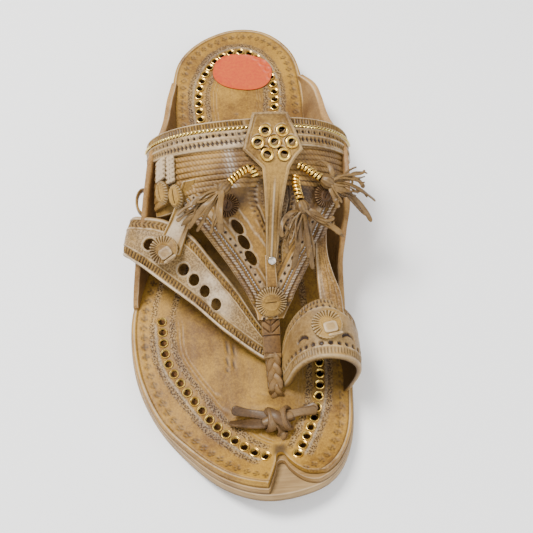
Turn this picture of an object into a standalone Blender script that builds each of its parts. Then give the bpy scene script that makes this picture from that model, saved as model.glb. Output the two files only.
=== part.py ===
"""A kapashi-style kolhapuri sandal for the right foot, as the separate pieces that its maker puts together.

X runs to the big-toe side, Y to the heel and Z up. The origin is on the floor under the ball of the foot.
Shares in the tables are of the named size in the column's heading, so the pieces follow the sizes.
"""

import math

import bmesh
import bpy
import numpy as np
from mathutils import Matrix, Vector

# Sizes of the sandal as a whole, in metres
LENGTH = 0.270
BALL_WIDTH = 0.105
INSTEP_HEIGHT = 0.048

# Sole
OUTSOLE_THICKNESS = 0.0034
MIDSOLE_THICKNESS = 0.0026
INSOLE_THICKNESS = 0.0026
HEEL_LIFT = 0.008
SPRING_RADIUS = 0.070
SPRING_START = -0.155
RAMP_START = 0.10
RAMP_END = 0.33
HEEL_BREAST = 0.36
INSOLE_INSET = 0.0012
NOTCH_STEP = 0.0026
SLOT_WIDTH = 0.0040

# Upper
STRAP_THICKNESS = 0.0022
EAR_THICKNESS = 0.0024
EDGE_RELIEF = 0.0008
RIB_RELIEF = 0.0009
BAND_RELIEF = 0.0016
BAND_LIFT = 0.0005
POST_WIDTH = 0.0095
LAST_SQUARENESS = 2.6

# Oval windows
WINDOW_HALF_WIDTH = 0.0021
PANEL_WINDOW_HALF_LENGTH = 0.0032
STRAP_WINDOW_HALF_LENGTH = 0.0026

# Ornaments
ORNAMENT_THICKNESS = 0.0024
ROSETTE_RADIUS = 0.0070
ROSETTE_THICKNESS = 0.0024
THROAT_ROSETTE_LIFT = 0.0010
STRAP_ROSETTE_LIFT = 0.0027
EYELET_RADIUS = 0.0026
EYELET_WALL = 0.0005
EYELET_HOLE_RADIUS = 0.0013
EYELET_PITCH = 0.0055
BRAID_WIDTH = 0.0072
BRAID_THICKNESS = 0.0026
BRAID_START = -0.012
COIL_RADIUS = 0.0021
FRINGE_STATIONS = 6
FRINGE_WIDTH = 0.0026
FRINGE_THICKNESS = 0.0010
THONG_WIDTH = 0.0042
THONG_THICKNESS = 0.0016
TASSEL_HEAD_RADIUS = 0.0027
TASSEL_HEAD_REACH = 0.0036
KNOT_RADII = (0.0050, 0.0036, 0.0030)
ROLL_RADIUS = 0.0052

GAP = 0.0003

LEATHER = ("tan_leather", (0.50, 0.33, 0.17, 1.0), 0.55, 0.0)
SOLE_LEATHER = ("sole_leather", (0.46, 0.30, 0.15, 1.0), 0.6, 0.0)
EDGE_LEATHER = ("edge_leather", (0.34, 0.22, 0.12, 1.0), 0.7, 0.0)
BRASS = ("brass", (0.80, 0.60, 0.25, 1.0), 0.25, 1.0)

# Sole outline, anticlockwise from the heel end. Columns: across / BALL_WIDTH, along / LENGTH
OUTLINE = (
    (0.100, 0.706),
    (-0.098, 0.676),
    (-0.230, 0.614),
    (-0.270, 0.518),
    (-0.275, 0.420),
    (-0.300, 0.300),
    (-0.365, 0.200),
    (-0.450, 0.118),
    (-0.500, 0.030),
    (-0.478, -0.068),
    (-0.395, -0.150),
    (-0.262, -0.220),
    (-0.106, -0.281),
    (0.060, -0.310),
    (0.235, -0.308),
    (0.362, -0.272),
    (0.450, -0.207),
    (0.485, -0.120),
    (0.500, -0.010),
    (0.500, 0.100),
    (0.470, 0.190),
    (0.440, 0.300),
    (0.442, 0.410),
    (0.450, 0.510),
    (0.420, 0.618),
    (0.290, 0.687),
)

# Toe notch of the insole, from beyond the little-toe lobe over its apex to beyond the big-toe lobe.
# Columns: across / BALL_WIDTH, along / LENGTH
NOTCH = (
    (0.050, -0.330),
    (0.118, -0.232),
    (0.134, -0.228),
    (0.162, -0.247),
    (0.218, -0.268),
    (0.300, -0.290),
    (0.360, -0.330),
)

# Eyelet runs of the footbed. Columns: across / BALL_WIDTH, along / LENGTH
EYELETS_OUTER = (
    (-0.351, 0.031),
    (-0.344, -0.022),
    (-0.315, -0.062),
    (-0.217, -0.124),
    (-0.116, -0.178),
    (0.000, -0.225),
    (0.070, -0.243),
)
EYELETS_INNER = (
    (0.345, -0.010),
    (0.345, -0.070),
    (0.335, -0.110),
    (0.315, -0.145),
    (0.280, -0.183),
    (0.236, -0.220),
    (0.205, -0.243),
)
EYELETS_HEEL = (
    (-0.105, 0.400),
    (-0.115, 0.460),
    (-0.120, 0.505),
    (-0.105, 0.550),
    (-0.060, 0.592),
    (0.010, 0.625),
    (0.100, 0.638),
    (0.190, 0.625),
    (0.252, 0.590),
    (0.280, 0.545),
    (0.280, 0.500),
    (0.262, 0.450),
    (0.245, 0.400),
)

# The last. Columns: along / LENGTH, centre / BALL_WIDTH, half width / BALL_WIDTH, height / INSTEP_HEIGHT
LAST = (
    (-0.150, 0.130, 0.400, 0.10),
    (0.000, 0.114, 0.430, 0.27),
    (0.037, 0.106, 0.450, 0.37),
    (0.093, 0.100, 0.462, 0.58),
    (0.155, 0.100, 0.466, 0.80),
    (0.222, 0.104, 0.464, 0.97),
    (0.289, 0.108, 0.462, 1.04),
    (0.370, 0.108, 0.455, 1.10),
)

# Side ears. Columns: along / LENGTH, rim out from the sole edge / BALL_WIDTH, rim above the midsole /
# INSTEP_HEIGHT
EAR_OUTER = (
    (0.060, 0.000, 0.10),
    (0.118, 0.012, 0.38),
    (0.190, 0.044, 0.58),
    (0.245, 0.062, 0.66),
    (0.305, 0.066, 0.66),
    (0.390, 0.044, 0.40),
    (0.470, 0.028, 0.22),
    (0.555, 0.006, 0.10),
)
EAR_INNER = (
    (0.010, 0.000, 0.10),
    (0.090, 0.006, 0.36),
    (0.140, 0.044, 0.54),
    (0.190, 0.090, 0.66),
    (0.290, 0.130, 0.68),
    (0.390, 0.094, 0.42),
    (0.470, 0.078, 0.24),
    (0.520, 0.060, 0.16),
    (0.555, 0.010, 0.10),
)

# Throat panel, which widens from the toe post to the ribs. Columns: along / LENGTH, backward sweep at its
# sides / LENGTH, left and right edge / BALL_WIDTH
PANEL = (
    (-0.004, 0.000, 0.085, 0.200),
    (0.012, 0.000, 0.078, 0.222),
    (0.037, 0.000, 0.048, 0.258),
    (0.075, 0.000, -0.012, 0.322),
    (0.112, 0.000, -0.080, 0.390),
    (0.148, 0.002, -0.150, 0.440),
    (0.176, 0.006, -0.215, 0.480),
    (0.200, 0.012, -0.240, 0.490),
)
PANEL_LIFT = 0.0004
PANEL_THICKNESS = 0.0020
RIB_START = 0.190
RIB_END = 0.243
RIB_COUNT = 5
RIB_INSET = 0.024
RIB_OVERLAP = 0.012
BAND_START = 0.248
BAND_END = 0.297
SIDE_SWEEP = 0.060
SIDE_SWEEP_INNER = 0.042
PANEL_LEFT = -0.346
PANEL_RIGHT = 0.560

# Lateral strap, from the toe post to its folded end. Columns: front edge and rear edge, each
# across / BALL_WIDTH, along / LENGTH, rise above the footbed / INSTEP_HEIGHT
CROSS_STRAP = (
    (0.140, -0.066, 0.03, 0.150, -0.012, 0.08),
    (0.075, -0.058, 0.07, 0.085, 0.000, 0.13),
    (-0.064, -0.017, 0.20, -0.010, 0.060, 0.32),
    (-0.180, 0.028, 0.27, -0.115, 0.115, 0.45),
    (-0.286, 0.064, 0.32, -0.190, 0.152, 0.52),
    (-0.380, 0.096, 0.35, -0.295, 0.182, 0.50),
    (-0.440, 0.116, 0.37, -0.398, 0.194, 0.47),
    (-0.478, 0.134, 0.33, -0.432, 0.200, 0.41),
    (-0.484, 0.142, 0.24, -0.440, 0.204, 0.28),
    (-0.462, 0.146, 0.14, -0.412, 0.204, 0.16),
)

# Big-toe ring, from the post over the toe to its slot. Columns as in the lateral strap
TOE_RING = (
    (0.199, -0.112, 0.02, 0.200, -0.050, 0.10),
    (0.212, -0.113, 0.16, 0.212, -0.036, 0.18),
    (0.242, -0.107, 0.35, 0.238, -0.020, 0.34),
    (0.294, -0.104, 0.50, 0.298, -0.005, 0.50),
    (0.360, -0.106, 0.57, 0.365, 0.000, 0.56),
    (0.430, -0.108, 0.52, 0.431, -0.010, 0.51),
    (0.476, -0.111, 0.39, 0.478, -0.026, 0.40),
    (0.482, -0.116, 0.26, 0.486, -0.040, 0.27),
    (0.456, -0.124, 0.11, 0.462, -0.055, 0.12),
    (0.434, -0.127, 0.00, 0.436, -0.062, 0.00),
)

# Strap that holds the ring back to the panel. Columns: across / BALL_WIDTH, along / LENGTH, rise /
# INSTEP_HEIGHT, half width / BALL_WIDTH
RING_STRAP = (
    (0.400, -0.030, 0.520, 0.052),
    (0.400, 0.012, 0.545, 0.048),
    (0.390, 0.050, 0.560, 0.036),
    (0.386, 0.090, 0.575, 0.027),
    (0.396, 0.130, 0.610, 0.025),
    (0.415, 0.165, 0.680, 0.024),
)

# Tie strap from the lateral strap's rosette to the ribs, with the ring strap's columns, and the short strap
# behind it, with the lateral strap's columns
TIE_STRAP = (
    (-0.290, 0.106, 0.510, 0.055),
    (-0.272, 0.132, 0.520, 0.060),
    (-0.245, 0.155, 0.555, 0.057),
    (-0.215, 0.175, 0.640, 0.050),
    (-0.185, 0.196, 0.760, 0.042),
    (-0.160, 0.216, 0.860, 0.036),
)
SIDE_STRAP = (
    (-0.345, 0.194, 0.400, -0.350, 0.222, 0.420),
    (-0.300, 0.190, 0.490, -0.300, 0.218, 0.530),
    (-0.230, 0.184, 0.610, -0.225, 0.210, 0.640),
)

# Toe post, from under the throat rosette to its slot. Columns: across / BALL_WIDTH, along / LENGTH, rise
POST = (
    (0.145, 0.028, 0.285),
    (0.141, 0.000, 0.250),
    (0.138, -0.040, 0.170),
    (0.138, -0.085, 0.090),
    (0.139, -0.112, 0.050),
)

# Centre ornament. Columns: along / LENGTH, left and right edge / BALL_WIDTH, lift above the last /
# STRAP_THICKNESS
ORNAMENT = (
    (0.302, 0.128, 0.272, 1.90),
    (0.272, 0.100, 0.298, 1.90),
    (0.242, 0.073, 0.322, 1.90),
    (0.229, 0.110, 0.290, 1.85),
    (0.215, 0.150, 0.264, 1.75),
    (0.190, 0.152, 0.244, 1.70),
    (0.155, 0.150, 0.220, 1.65),
    (0.118, 0.145, 0.202, 1.60),
    (0.092, 0.141, 0.188, 1.55),
    (0.082, 0.147, 0.180, 1.55),
)

# Oval windows of the panel. Columns: across / BALL_WIDTH, along / LENGTH
PANEL_WINDOWS = ((0.024, 0.136), (0.048, 0.114), (0.076, 0.091))

# Oval windows of the lateral strap. Columns: share along the strap, share across it from its front edge
STRAP_WINDOWS = ((0.270, 0.35), (0.315, 0.38), (0.365, 0.40), (0.420, 0.42), (0.595, 0.48))

# Coils that carry the tassels, as points of a curve. Columns: across / BALL_WIDTH, along / LENGTH, height of
# the coil's underside above the last / STRAP_THICKNESS
COIL_OUTER = ((0.122, 0.205, 1.55), (0.095, 0.216, 1.82), (0.038, 0.206, 2.82), (0.010, 0.198, 3.45))
COIL_INNER_REAR = ((0.303, 0.219, 1.18), (0.324, 0.216, 1.64), (0.357, 0.206, 2.55), (0.374, 0.202, 3.00))
COIL_INNER_FRONT = ((0.288, 0.203, 1.18), (0.283, 0.193, 1.82), (0.283, 0.181, 2.82), (0.290, 0.169, 3.36))

# Strips of each tassel. Columns: heading in degrees from the big-toe side towards the heel, length / LENGTH,
# turn in degrees over the length, rise at the tip / LENGTH, width share
FRINGE_OUTER = (
    (196, 0.080, 10, -0.020, 1.5),
    (208, 0.084, 6, -0.034, 1.0),
    (220, 0.080, 4, -0.028, 1.1),
    (234, 0.072, -8, -0.038, 0.9),
    (247, 0.070, 8, -0.030, 1.0),
    (262, 0.070, 4, -0.026, 1.3),
)
FRINGE_INNER_REAR = (
    (48, 0.066, 60, 0.006, 1.4),
    (62, 0.078, -150, -0.010, 0.9),
    (20, 0.078, 18, -0.040, 0.8),
    (4, 0.082, -22, -0.050, 0.9),
    (-10, 0.086, -48, -0.058, 1.1),
    (-50, 0.062, 70, -0.034, 1.5),
    (-82, 0.052, 20, -0.016, 1.2),
)
FRINGE_INNER_FRONT = (
    (172, 0.070, 110, -0.006, 1.1),
    (212, 0.078, 60, -0.022, 1.0),
    (256, 0.088, -6, -0.046, 1.3),
    (268, 0.084, 14, -0.054, 1.1),
    (282, 0.072, -24, -0.036, 0.9),
    (312, 0.076, 34, -0.030, 0.9),
    (330, 0.070, -6, -0.022, 1.6),
)
# Fluted rolls. Columns: across / BALL_WIDTH, along / LENGTH, height of the middle above the last /
# STRAP_THICKNESS
ROLLS = ((-0.262, 0.210, 2.50), (-0.209, 0.195, 2.66))
TASSELS = (
    ("tassel_outer", COIL_OUTER, FRINGE_OUTER),
    ("tassel_inner_rear", COIL_INNER_REAR, FRINGE_INNER_REAR),
    ("tassel_inner_front", COIL_INNER_FRONT, FRINGE_INNER_FRONT),
)


def shade(colour):
    """Material with the leather's or the metal's colour, roughness and metallic value."""
    name, base, roughness, metallic = colour
    material = bpy.data.materials.get(name)
    if material is None:
        material = bpy.data.materials.new(name)
        material.use_nodes = True
        shader = material.node_tree.nodes["Principled BSDF"]
        shader.inputs["Base Color"].default_value = base
        shader.inputs["Roughness"].default_value = roughness
        shader.inputs["Metallic"].default_value = metallic
    return material


def add_mesh(name, points, faces, colour):
    """Object from points and faces, with its faces pointing out."""
    mesh = bpy.data.meshes.new(name)
    mesh.from_pydata([tuple(p) for p in points], [], faces)
    work = bmesh.new()
    work.from_mesh(mesh)
    bmesh.ops.triangulate(work, faces=work.faces)
    bmesh.ops.recalc_face_normals(work, faces=work.faces)
    work.to_mesh(mesh)
    work.free()
    thing = bpy.data.objects.new(name, mesh)
    mesh.materials.append(shade(colour))
    bpy.context.scene.collection.objects.link(thing)
    return thing


def boolean(thing, others, operation):
    """Joins the others to thing or cuts them out in one pass, and removes them."""
    tools = bpy.data.collections.new("tools")
    for other in others:
        tools.objects.link(other)
    modifier = thing.modifiers.new(operation.lower(), "BOOLEAN")
    modifier.operation = operation
    modifier.solver = "EXACT"
    modifier.operand_type = "COLLECTION"
    modifier.collection = tools
    modifier.use_self = False
    bpy.context.view_layer.update()
    graph = bpy.context.evaluated_depsgraph_get()
    result = bpy.data.meshes.new_from_object(thing.evaluated_get(graph))
    thing.modifiers.remove(modifier)
    thing.data = result
    for other in others:
        bpy.data.objects.remove(other)
    bpy.data.collections.remove(tools)
    return thing


def tidy(thing, distance=0.000004):
    """Merges the slivers that the cuts leave."""
    work = bmesh.new()
    work.from_mesh(thing.data)
    bmesh.ops.remove_doubles(work, verts=work.verts, dist=distance)
    bmesh.ops.dissolve_degenerate(work, dist=distance, edges=work.edges)
    bmesh.ops.triangulate(work, faces=work.faces)
    work.to_mesh(thing.data)
    work.free()
    return thing


def curve_through(rows, samples):
    """Catmull-Rom curve through the rows of a table, sampled evenly in row number."""
    rows = np.asarray(rows, float)
    padded = np.vstack([2 * rows[0] - rows[1], rows, 2 * rows[-1] - rows[-2]])
    return blend_rows(padded, np.linspace(0, len(rows) - 1, samples))


def closed_curve(rows, samples):
    """Catmull-Rom curve round a closed table of rows."""
    rows = np.asarray(rows, float)
    padded = np.vstack([rows[-1], rows, rows[0], rows[1]])
    return blend_rows(padded, np.linspace(0, len(rows), samples, endpoint=False))


def blend_rows(padded, places):
    """Catmull-Rom values at the places, counted in rows from the second of the padded rows."""
    index = np.minimum(places.astype(int), len(padded) - 4)
    t = (places - index)[:, None]
    a, b, c, d = (padded[index + k] for k in range(4))
    return 0.5 * (2 * b + (c - a) * t + (2 * a - 5 * b + 4 * c - d) * t**2 + (3 * b - a - 3 * c + d) * t**3)


def table_at(rows, along):
    """Values of a table's other columns where its first column is along, on a smooth curve."""
    dense = curve_through(rows, 160)
    order = np.argsort(dense[:, 0])
    return [np.interp(along, dense[order, 0], dense[order, k]) for k in range(1, dense.shape[1])]


def outline_points(samples=320):
    """The sole's outline in metres: across and along."""
    return closed_curve(OUTLINE, samples) * (BALL_WIDTH, LENGTH)


def sole_edges(along, inset=0.0):
    """Outer (little-toe) and inner (big-toe) edge of the sole at a place along it."""
    points = outline_points()
    heel, toe = np.argmax(points[:, 1]), np.argmin(points[:, 1])
    points = np.roll(points, -heel, axis=0)
    toe = (toe - heel) % len(points)
    outer, inner = points[: toe + 1], np.vstack([points[toe:], points[:1]])
    middle = (points[:, 1].max() + points[:, 1].min()) / 2
    reach = (points[:, 1].max() - points[:, 1].min()) / 2
    along = middle + (along - middle) * reach / (reach - inset)
    left = np.interp(along, outer[::-1, 1], outer[::-1, 0])
    right = np.interp(along, inner[:, 1], inner[:, 0])
    return left + inset, right - inset


def sole_profile(along, height):
    """Y and Z of a point in the sole: along its flat pattern and height above its underside.

    The sole lies flat under the ball, curls up on an arc at the toe and climbs a smooth ramp to the heel.
    """
    along = np.asarray(along, float)
    start = SPRING_START * LENGTH
    angle = np.clip((start - along) / SPRING_RADIUS, 0, None)
    y = np.where(along < start, start - (SPRING_RADIUS - height) * np.sin(angle), along)
    z = np.where(along < start, SPRING_RADIUS - (SPRING_RADIUS - height) * np.cos(angle), height)
    share = np.clip((along / LENGTH - RAMP_START) / (RAMP_END - RAMP_START), 0, 1)
    climb = HEEL_LIFT * share**2 * (3 - 2 * share)
    slope = HEEL_LIFT * 6 * share * (1 - share) / ((RAMP_END - RAMP_START) * LENGTH)
    tilt = np.arctan(slope)
    return y - height * np.sin(tilt), z + climb + height * (np.cos(tilt) - 1)


def footbed_height():
    """Top of the insole above the outsole's underside."""
    return OUTSOLE_THICKNESS + MIDSOLE_THICKNESS + INSOLE_THICKNESS + 2 * GAP


def footbed(along):
    """Z of the footbed at a place along the sole."""
    return sole_profile(along, footbed_height())[1]


def sheet_solid(name, outer, inner, colour):
    """Closed solid between two grids of points of the same shape."""
    rows, columns = outer.shape[:2]
    points = np.vstack([outer.reshape(-1, 3), inner.reshape(-1, 3)])
    base = rows * columns

    def at(i, j, side):
        return side * base + i * columns + j

    faces = []
    for i in range(rows - 1):
        for j in range(columns - 1):
            faces.append((at(i, j, 0), at(i, j + 1, 0), at(i + 1, j + 1, 0), at(i + 1, j, 0)))
            faces.append((at(i, j, 1), at(i + 1, j, 1), at(i + 1, j + 1, 1), at(i, j + 1, 1)))
    for i in range(rows - 1):
        for j in (0, columns - 1):
            faces.append((at(i, j, 0), at(i + 1, j, 0), at(i + 1, j, 1), at(i, j, 1)))
    for j in range(columns - 1):
        for i in (0, rows - 1):
            faces.append((at(i, j, 0), at(i, j + 1, 0), at(i, j + 1, 1), at(i, j, 1)))
    return add_mesh(name, points, faces, colour)


def grid_normals(grid):
    """Unit normals of a grid of points, on the side that faces away from the middle of the foot."""
    normals = np.cross(np.gradient(grid, axis=1), np.gradient(grid, axis=0))
    normals /= np.linalg.norm(normals, axis=2, keepdims=True)
    away = grid - (0.11 * BALL_WIDTH, 0, footbed_height())
    away[..., 1] = 0
    return normals * np.sign(np.sum(normals * away))


def sole_layer(name, low, high, inset, colour, rows=34, columns=2, ear_room=0.0):
    """One leather layer of the sole between two heights, set in from the outline, with room for the ears."""
    points = outline_points()
    front, back = points[:, 1].min() + inset, points[:, 1].max() - inset
    turn = np.linspace(0, math.pi, rows + 2)[1:-1]
    along = (front + back) / 2 - (back - front) / 2 * np.cos(turn)
    left, right = sole_edges(along, inset)
    left = left + ear_room * ear_window(along, EAR_OUTER)
    right = right - ear_room * ear_window(along, EAR_INNER)
    share = np.linspace(0, 1, columns)
    across = left[:, None] + (right - left)[:, None] * share
    grids = []
    for height in (high, low):
        y, z = sole_profile(along, height)
        grids.append(np.stack([across, y[:, None] + 0 * across, z[:, None] + 0 * across], axis=2))
    return sheet_solid(name, grids[0], grids[1], colour)


def ear_window(along, rows):
    """1 where an ear stands beside the insole, falling to 0 past its ends."""
    first, last, ease, spare = rows[0][0] * LENGTH, rows[-1][0] * LENGTH, 0.03 * LENGTH, 0.015 * LENGTH
    rise = np.clip((along - first + spare + ease) / ease, 0, 1)
    fall = np.clip((last + spare + ease - along) / ease, 0, 1)
    return np.minimum(rise, fall)


def prism(name, loop, low, high):
    """Upright cutter with a loop of (across, along) points."""
    count = len(loop)
    points = [(x, y, low) for x, y in loop] + [(x, y, high) for x, y in loop]
    faces = [tuple(range(count))[::-1], tuple(range(count, 2 * count))]
    faces += [(k, (k + 1) % count, count + (k + 1) % count, count + k) for k in range(count)]
    return add_mesh(name, points, faces, LEATHER)


def cut_toe_notch(layer, shift):
    """V cut in the toe of one layer, shifted towards the toe so that the layers show as steps."""
    loop = [
        (across * BALL_WIDTH, float(sole_profile(along * LENGTH - shift, footbed_height())[0]))
        for across, along in NOTCH
    ]
    return boolean(layer, [prism("notch", loop, -0.01, 0.06)], "DIFFERENCE")


def eyelet_places():
    """Centres of the footbed eyelets, an even pitch apart on each run."""
    places = []
    for run in (EYELETS_OUTER, EYELETS_INNER, EYELETS_HEEL):
        line = curve_through(run, 200) * (BALL_WIDTH, LENGTH)
        length = np.concatenate([[0], np.cumsum(np.linalg.norm(np.diff(line, axis=0), axis=1))])
        count = round(length[-1] / EYELET_PITCH) + 1
        stations = np.linspace(0, length[-1], count)
        places += list(zip(*(np.interp(stations, length, line[:, k]) for k in range(2))))
    return places


def eyelet_cutters():
    """One mesh with a small upright drill at each eyelet of the footbed."""
    work = bmesh.new()
    for across, along in eyelet_places():
        y, z = sole_profile(along, footbed_height())
        y_low, z_low = sole_profile(along, OUTSOLE_THICKNESS + MIDSOLE_THICKNESS)
        axis = Vector((0, float(y - y_low), float(z - z_low))).normalized()
        turn = Vector((0, 0, 1)).rotation_difference(axis).to_matrix().to_4x4()
        centre = Vector((across, float(y), float(z)))
        bmesh.ops.create_cone(
            work,
            cap_ends=True,
            segments=6,
            radius1=EYELET_HOLE_RADIUS,
            radius2=EYELET_HOLE_RADIUS,
            depth=4 * INSOLE_THICKNESS,
            matrix=Matrix.Translation(centre) @ turn,
        )
    mesh = bpy.data.meshes.new("drills")
    work.to_mesh(mesh)
    work.free()
    drills = bpy.data.objects.new("drills", mesh)
    bpy.context.scene.collection.objects.link(drills)
    return drills


def slot_cutter(across, along, length_x, length_y):
    """Box cutter for a strap slot through the insole."""
    low = sole_profile(along, OUTSOLE_THICKNESS + MIDSOLE_THICKNESS + GAP / 2)[1]
    loop = [
        (across - length_x / 2, along - length_y / 2),
        (across + length_x / 2, along - length_y / 2),
        (across + length_x / 2, along + length_y / 2),
        (across - length_x / 2, along + length_y / 2),
    ]
    return prism("slot", loop, low, low + 0.02)


def build_sole():
    """Outsole, midsole, insole and heel lift, from the floor up."""
    outsole = sole_layer("outsole", 0.0, OUTSOLE_THICKNESS, 0.0, SOLE_LEATHER)
    low = OUTSOLE_THICKNESS + GAP
    midsole = sole_layer("midsole", low, low + MIDSOLE_THICKNESS, 0.0004, EDGE_LEATHER)
    cut_toe_notch(midsole, NOTCH_STEP)
    low = low + MIDSOLE_THICKNESS + GAP
    room = EAR_THICKNESS + GAP
    insole = sole_layer("insole", low, low + INSOLE_THICKNESS, INSOLE_INSET, LEATHER, 48, ear_room=room)
    cut_toe_notch(insole, 0.0)
    post_across, post_along = POST[-1][0] * BALL_WIDTH, POST[-1][1] * LENGTH
    front, rear = TOE_RING[-1][1] * LENGTH, TOE_RING[-1][4] * LENGTH
    side = (TOE_RING[-1][0] + TOE_RING[-1][3]) / 2 * BALL_WIDTH + STRAP_THICKNESS / 2 + GAP
    cutters = [
        eyelet_cutters(),
        slot_cutter(post_across, post_along, POST_WIDTH + 0.0016, SLOT_WIDTH + 0.0008),
        slot_cutter(side, (front + rear) / 2, SLOT_WIDTH, rear - front + 0.0016),
    ]
    boolean(insole, cutters, "DIFFERENCE")
    for layer in (outsole, midsole, insole):
        tidy(layer)
    build_heel_lift()


def build_heel_lift():
    """Stacked heel under the outsole, with a straight breast."""
    points = outline_points(200)
    inset = 0.0006
    breast = HEEL_BREAST * LENGTH
    back = points[:, 1].max() - inset
    along = breast + (back - breast) * np.sin(np.linspace(0, math.pi / 2, 16)[:-1])
    left, right = sole_edges(along, inset)
    share = np.linspace(0, 1, 3)
    across = left[:, None] + (right - left)[:, None] * share
    along = along[:, None] + 0 * across
    grids = [np.stack([across, along, z + 0 * across], axis=2) for z in (HEEL_LIFT - GAP, 0.0)]
    sheet_solid("heel_lift", grids[0], grids[1], SOLE_LEATHER)


def last_point(across, along, lift=0.0):
    """Point on the last's skin at a place across and along, raised by lift along the skin's normal."""
    reach = 0.0004

    def skin(x, y):
        centre, half, height = table_at(LAST, y / LENGTH)
        share = np.clip(np.abs(x - centre * BALL_WIDTH) / (half * BALL_WIDTH), 0, 0.995)
        rise = height * INSTEP_HEIGHT * (1 - share**LAST_SQUARENESS) ** (1 / LAST_SQUARENESS)
        return footbed(y) + rise

    across, along = np.broadcast_arrays(np.asarray(across, float), np.asarray(along, float))
    z = skin(across, along)
    slope_x = (skin(across + reach, along) - skin(across - reach, along)) / (2 * reach)
    slope_y = (skin(across, along + reach) - skin(across, along - reach)) / (2 * reach)
    normal = np.stack([-slope_x, -slope_y, np.ones_like(z)], axis=-1)
    normal /= np.linalg.norm(normal, axis=-1, keepdims=True)
    return np.stack([across, along, z], axis=-1) + normal * np.asarray(lift)[..., None]


def last_section(along, left, right, columns):
    """Across values from left to right that step evenly round the last's section."""
    centre, half, _ = table_at(LAST, along / LENGTH)
    centre, half = centre * BALL_WIDTH, half * BALL_WIDTH

    def angle(x):
        share = np.clip((x - centre) / half, -0.995, 0.995)
        return np.arcsin(np.sign(share) * np.abs(share) ** (LAST_SQUARENESS / 2))

    turns = np.linspace(angle(left), angle(right), columns)
    return centre + half * np.sign(turns) * np.abs(np.sin(turns)) ** (2 / LAST_SQUARENESS)


def rib_rows():
    """Rows of the ribbed part: along, sweep, left, right and relief. It ends inside the raised band."""
    rows = []
    pitch = (RIB_END - RIB_START) / RIB_COUNT
    for rib in range(RIB_COUNT):
        for share, relief in ((0.12, 0.0), (0.5, RIB_RELIEF), (0.88, 0.0)):
            along = RIB_START + (rib + share) * pitch
            rows.append((along, relief))
    rows.append((BAND_START + RIB_OVERLAP, 0.0))
    reach = BAND_START - RIB_START + RIB_OVERLAP
    left, right = PANEL_LEFT + RIB_INSET, PANEL_RIGHT - RIB_INSET
    return [
        (along, SIDE_SWEEP * (along - RIB_START + RIB_OVERLAP) / reach, left, right, relief)
        for along, relief in rows
    ]


def band_rows():
    """Rows of the raised band across the instep."""
    shares = ((0.0, 0.0), (0.04, BAND_RELIEF), (0.93, BAND_RELIEF), (1.0, 0.6 * BAND_RELIEF))
    return [
        (BAND_START + share * (BAND_END - BAND_START), SIDE_SWEEP, PANEL_LEFT, PANEL_RIGHT, relief)
        for share, relief in shares
    ]


def last_wall(name, rows, lift, thickness, columns):
    """Wall that follows the last through rows of along, sweep, left, right and relief."""
    skin, relief = [], []
    side = np.linspace(-1, 1, columns)
    for along, sweep, left, right, raised in rows:
        y = along * LENGTH
        row = last_point(last_section(y, left * BALL_WIDTH, right * BALL_WIDTH, columns), y, lift)
        row[:, 1] += np.where(side < 0, 1.0, SIDE_SWEEP_INNER / SIDE_SWEEP) * sweep * LENGTH * side**2
        skin.append(row)
        relief.append(raised if np.ndim(raised) else raised + 0 * side)
    skin, relief = np.array(skin), np.array(relief)
    return sheet_solid(name, skin + grid_normals(skin) * (thickness + relief)[..., None], skin, LEATHER)


def build_panel(columns=13):
    """Throat panel with raised borders and its oval windows."""
    border = np.where(np.abs(np.linspace(-1, 1, columns)) > 0.7, EDGE_RELIEF, 0.0)
    panel = last_wall("upper", [(*row, border) for row in PANEL], PANEL_LIFT, PANEL_THICKNESS, columns)
    drills = [
        window_cutter(across * BALL_WIDTH, along * LENGTH, WINDOW_HALF_WIDTH, PANEL_WINDOW_HALF_LENGTH)
        for across, along in PANEL_WINDOWS
    ]
    return boolean(panel, drills, "DIFFERENCE")


def window_cutter(across, along, half_width, half_length, turn=0.0, centre=None, normal=None):
    """Oval drill standing on the last's skin, or at a given centre and normal."""
    if centre is None:
        foot, head = last_point(across, along), last_point(across, along, STRAP_THICKNESS)
        centre, normal = Vector(foot), Vector(head - foot).normalized()
    rotation = Vector((0, 0, 1)).rotation_difference(normal).to_matrix().to_4x4()
    work = bmesh.new()
    bmesh.ops.create_cone(
        work,
        cap_ends=True,
        segments=10,
        radius1=1.0,
        radius2=1.0,
        depth=5 * STRAP_THICKNESS,
        matrix=Matrix.Translation(centre)
        @ rotation
        @ Matrix.Rotation(turn, 4, "Z")
        @ Matrix.Diagonal((half_width, half_length, 1.0, 1.0)),
    )
    mesh = bpy.data.meshes.new("window")
    work.to_mesh(mesh)
    work.free()
    drill = bpy.data.objects.new("window", mesh)
    bpy.context.scene.collection.objects.link(drill)
    return drill


def place(across, along, rise):
    """Point from shares of the ball width, the length and, above the footbed, the instep height."""
    y = along * LENGTH
    return np.array([across * BALL_WIDTH, y, float(footbed(y)) + rise * INSTEP_HEIGHT])


def two_edge_grid(rows, stations, columns, crown=0.0):
    """Grid between the front and rear edges of a strap's table, with the middle raised by crown."""
    dense = curve_through(rows, stations)
    share = np.linspace(0, 1, columns)
    grid = []
    for row in dense:
        front, rear = place(*row[:3]), place(*row[3:])
        grid.append(front + (rear - front) * share[:, None])
    grid = np.array(grid)
    normals = grid_normals(grid)
    return grid + normals * (crown * 4 * share * (1 - share))[None, :, None], normals


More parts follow.
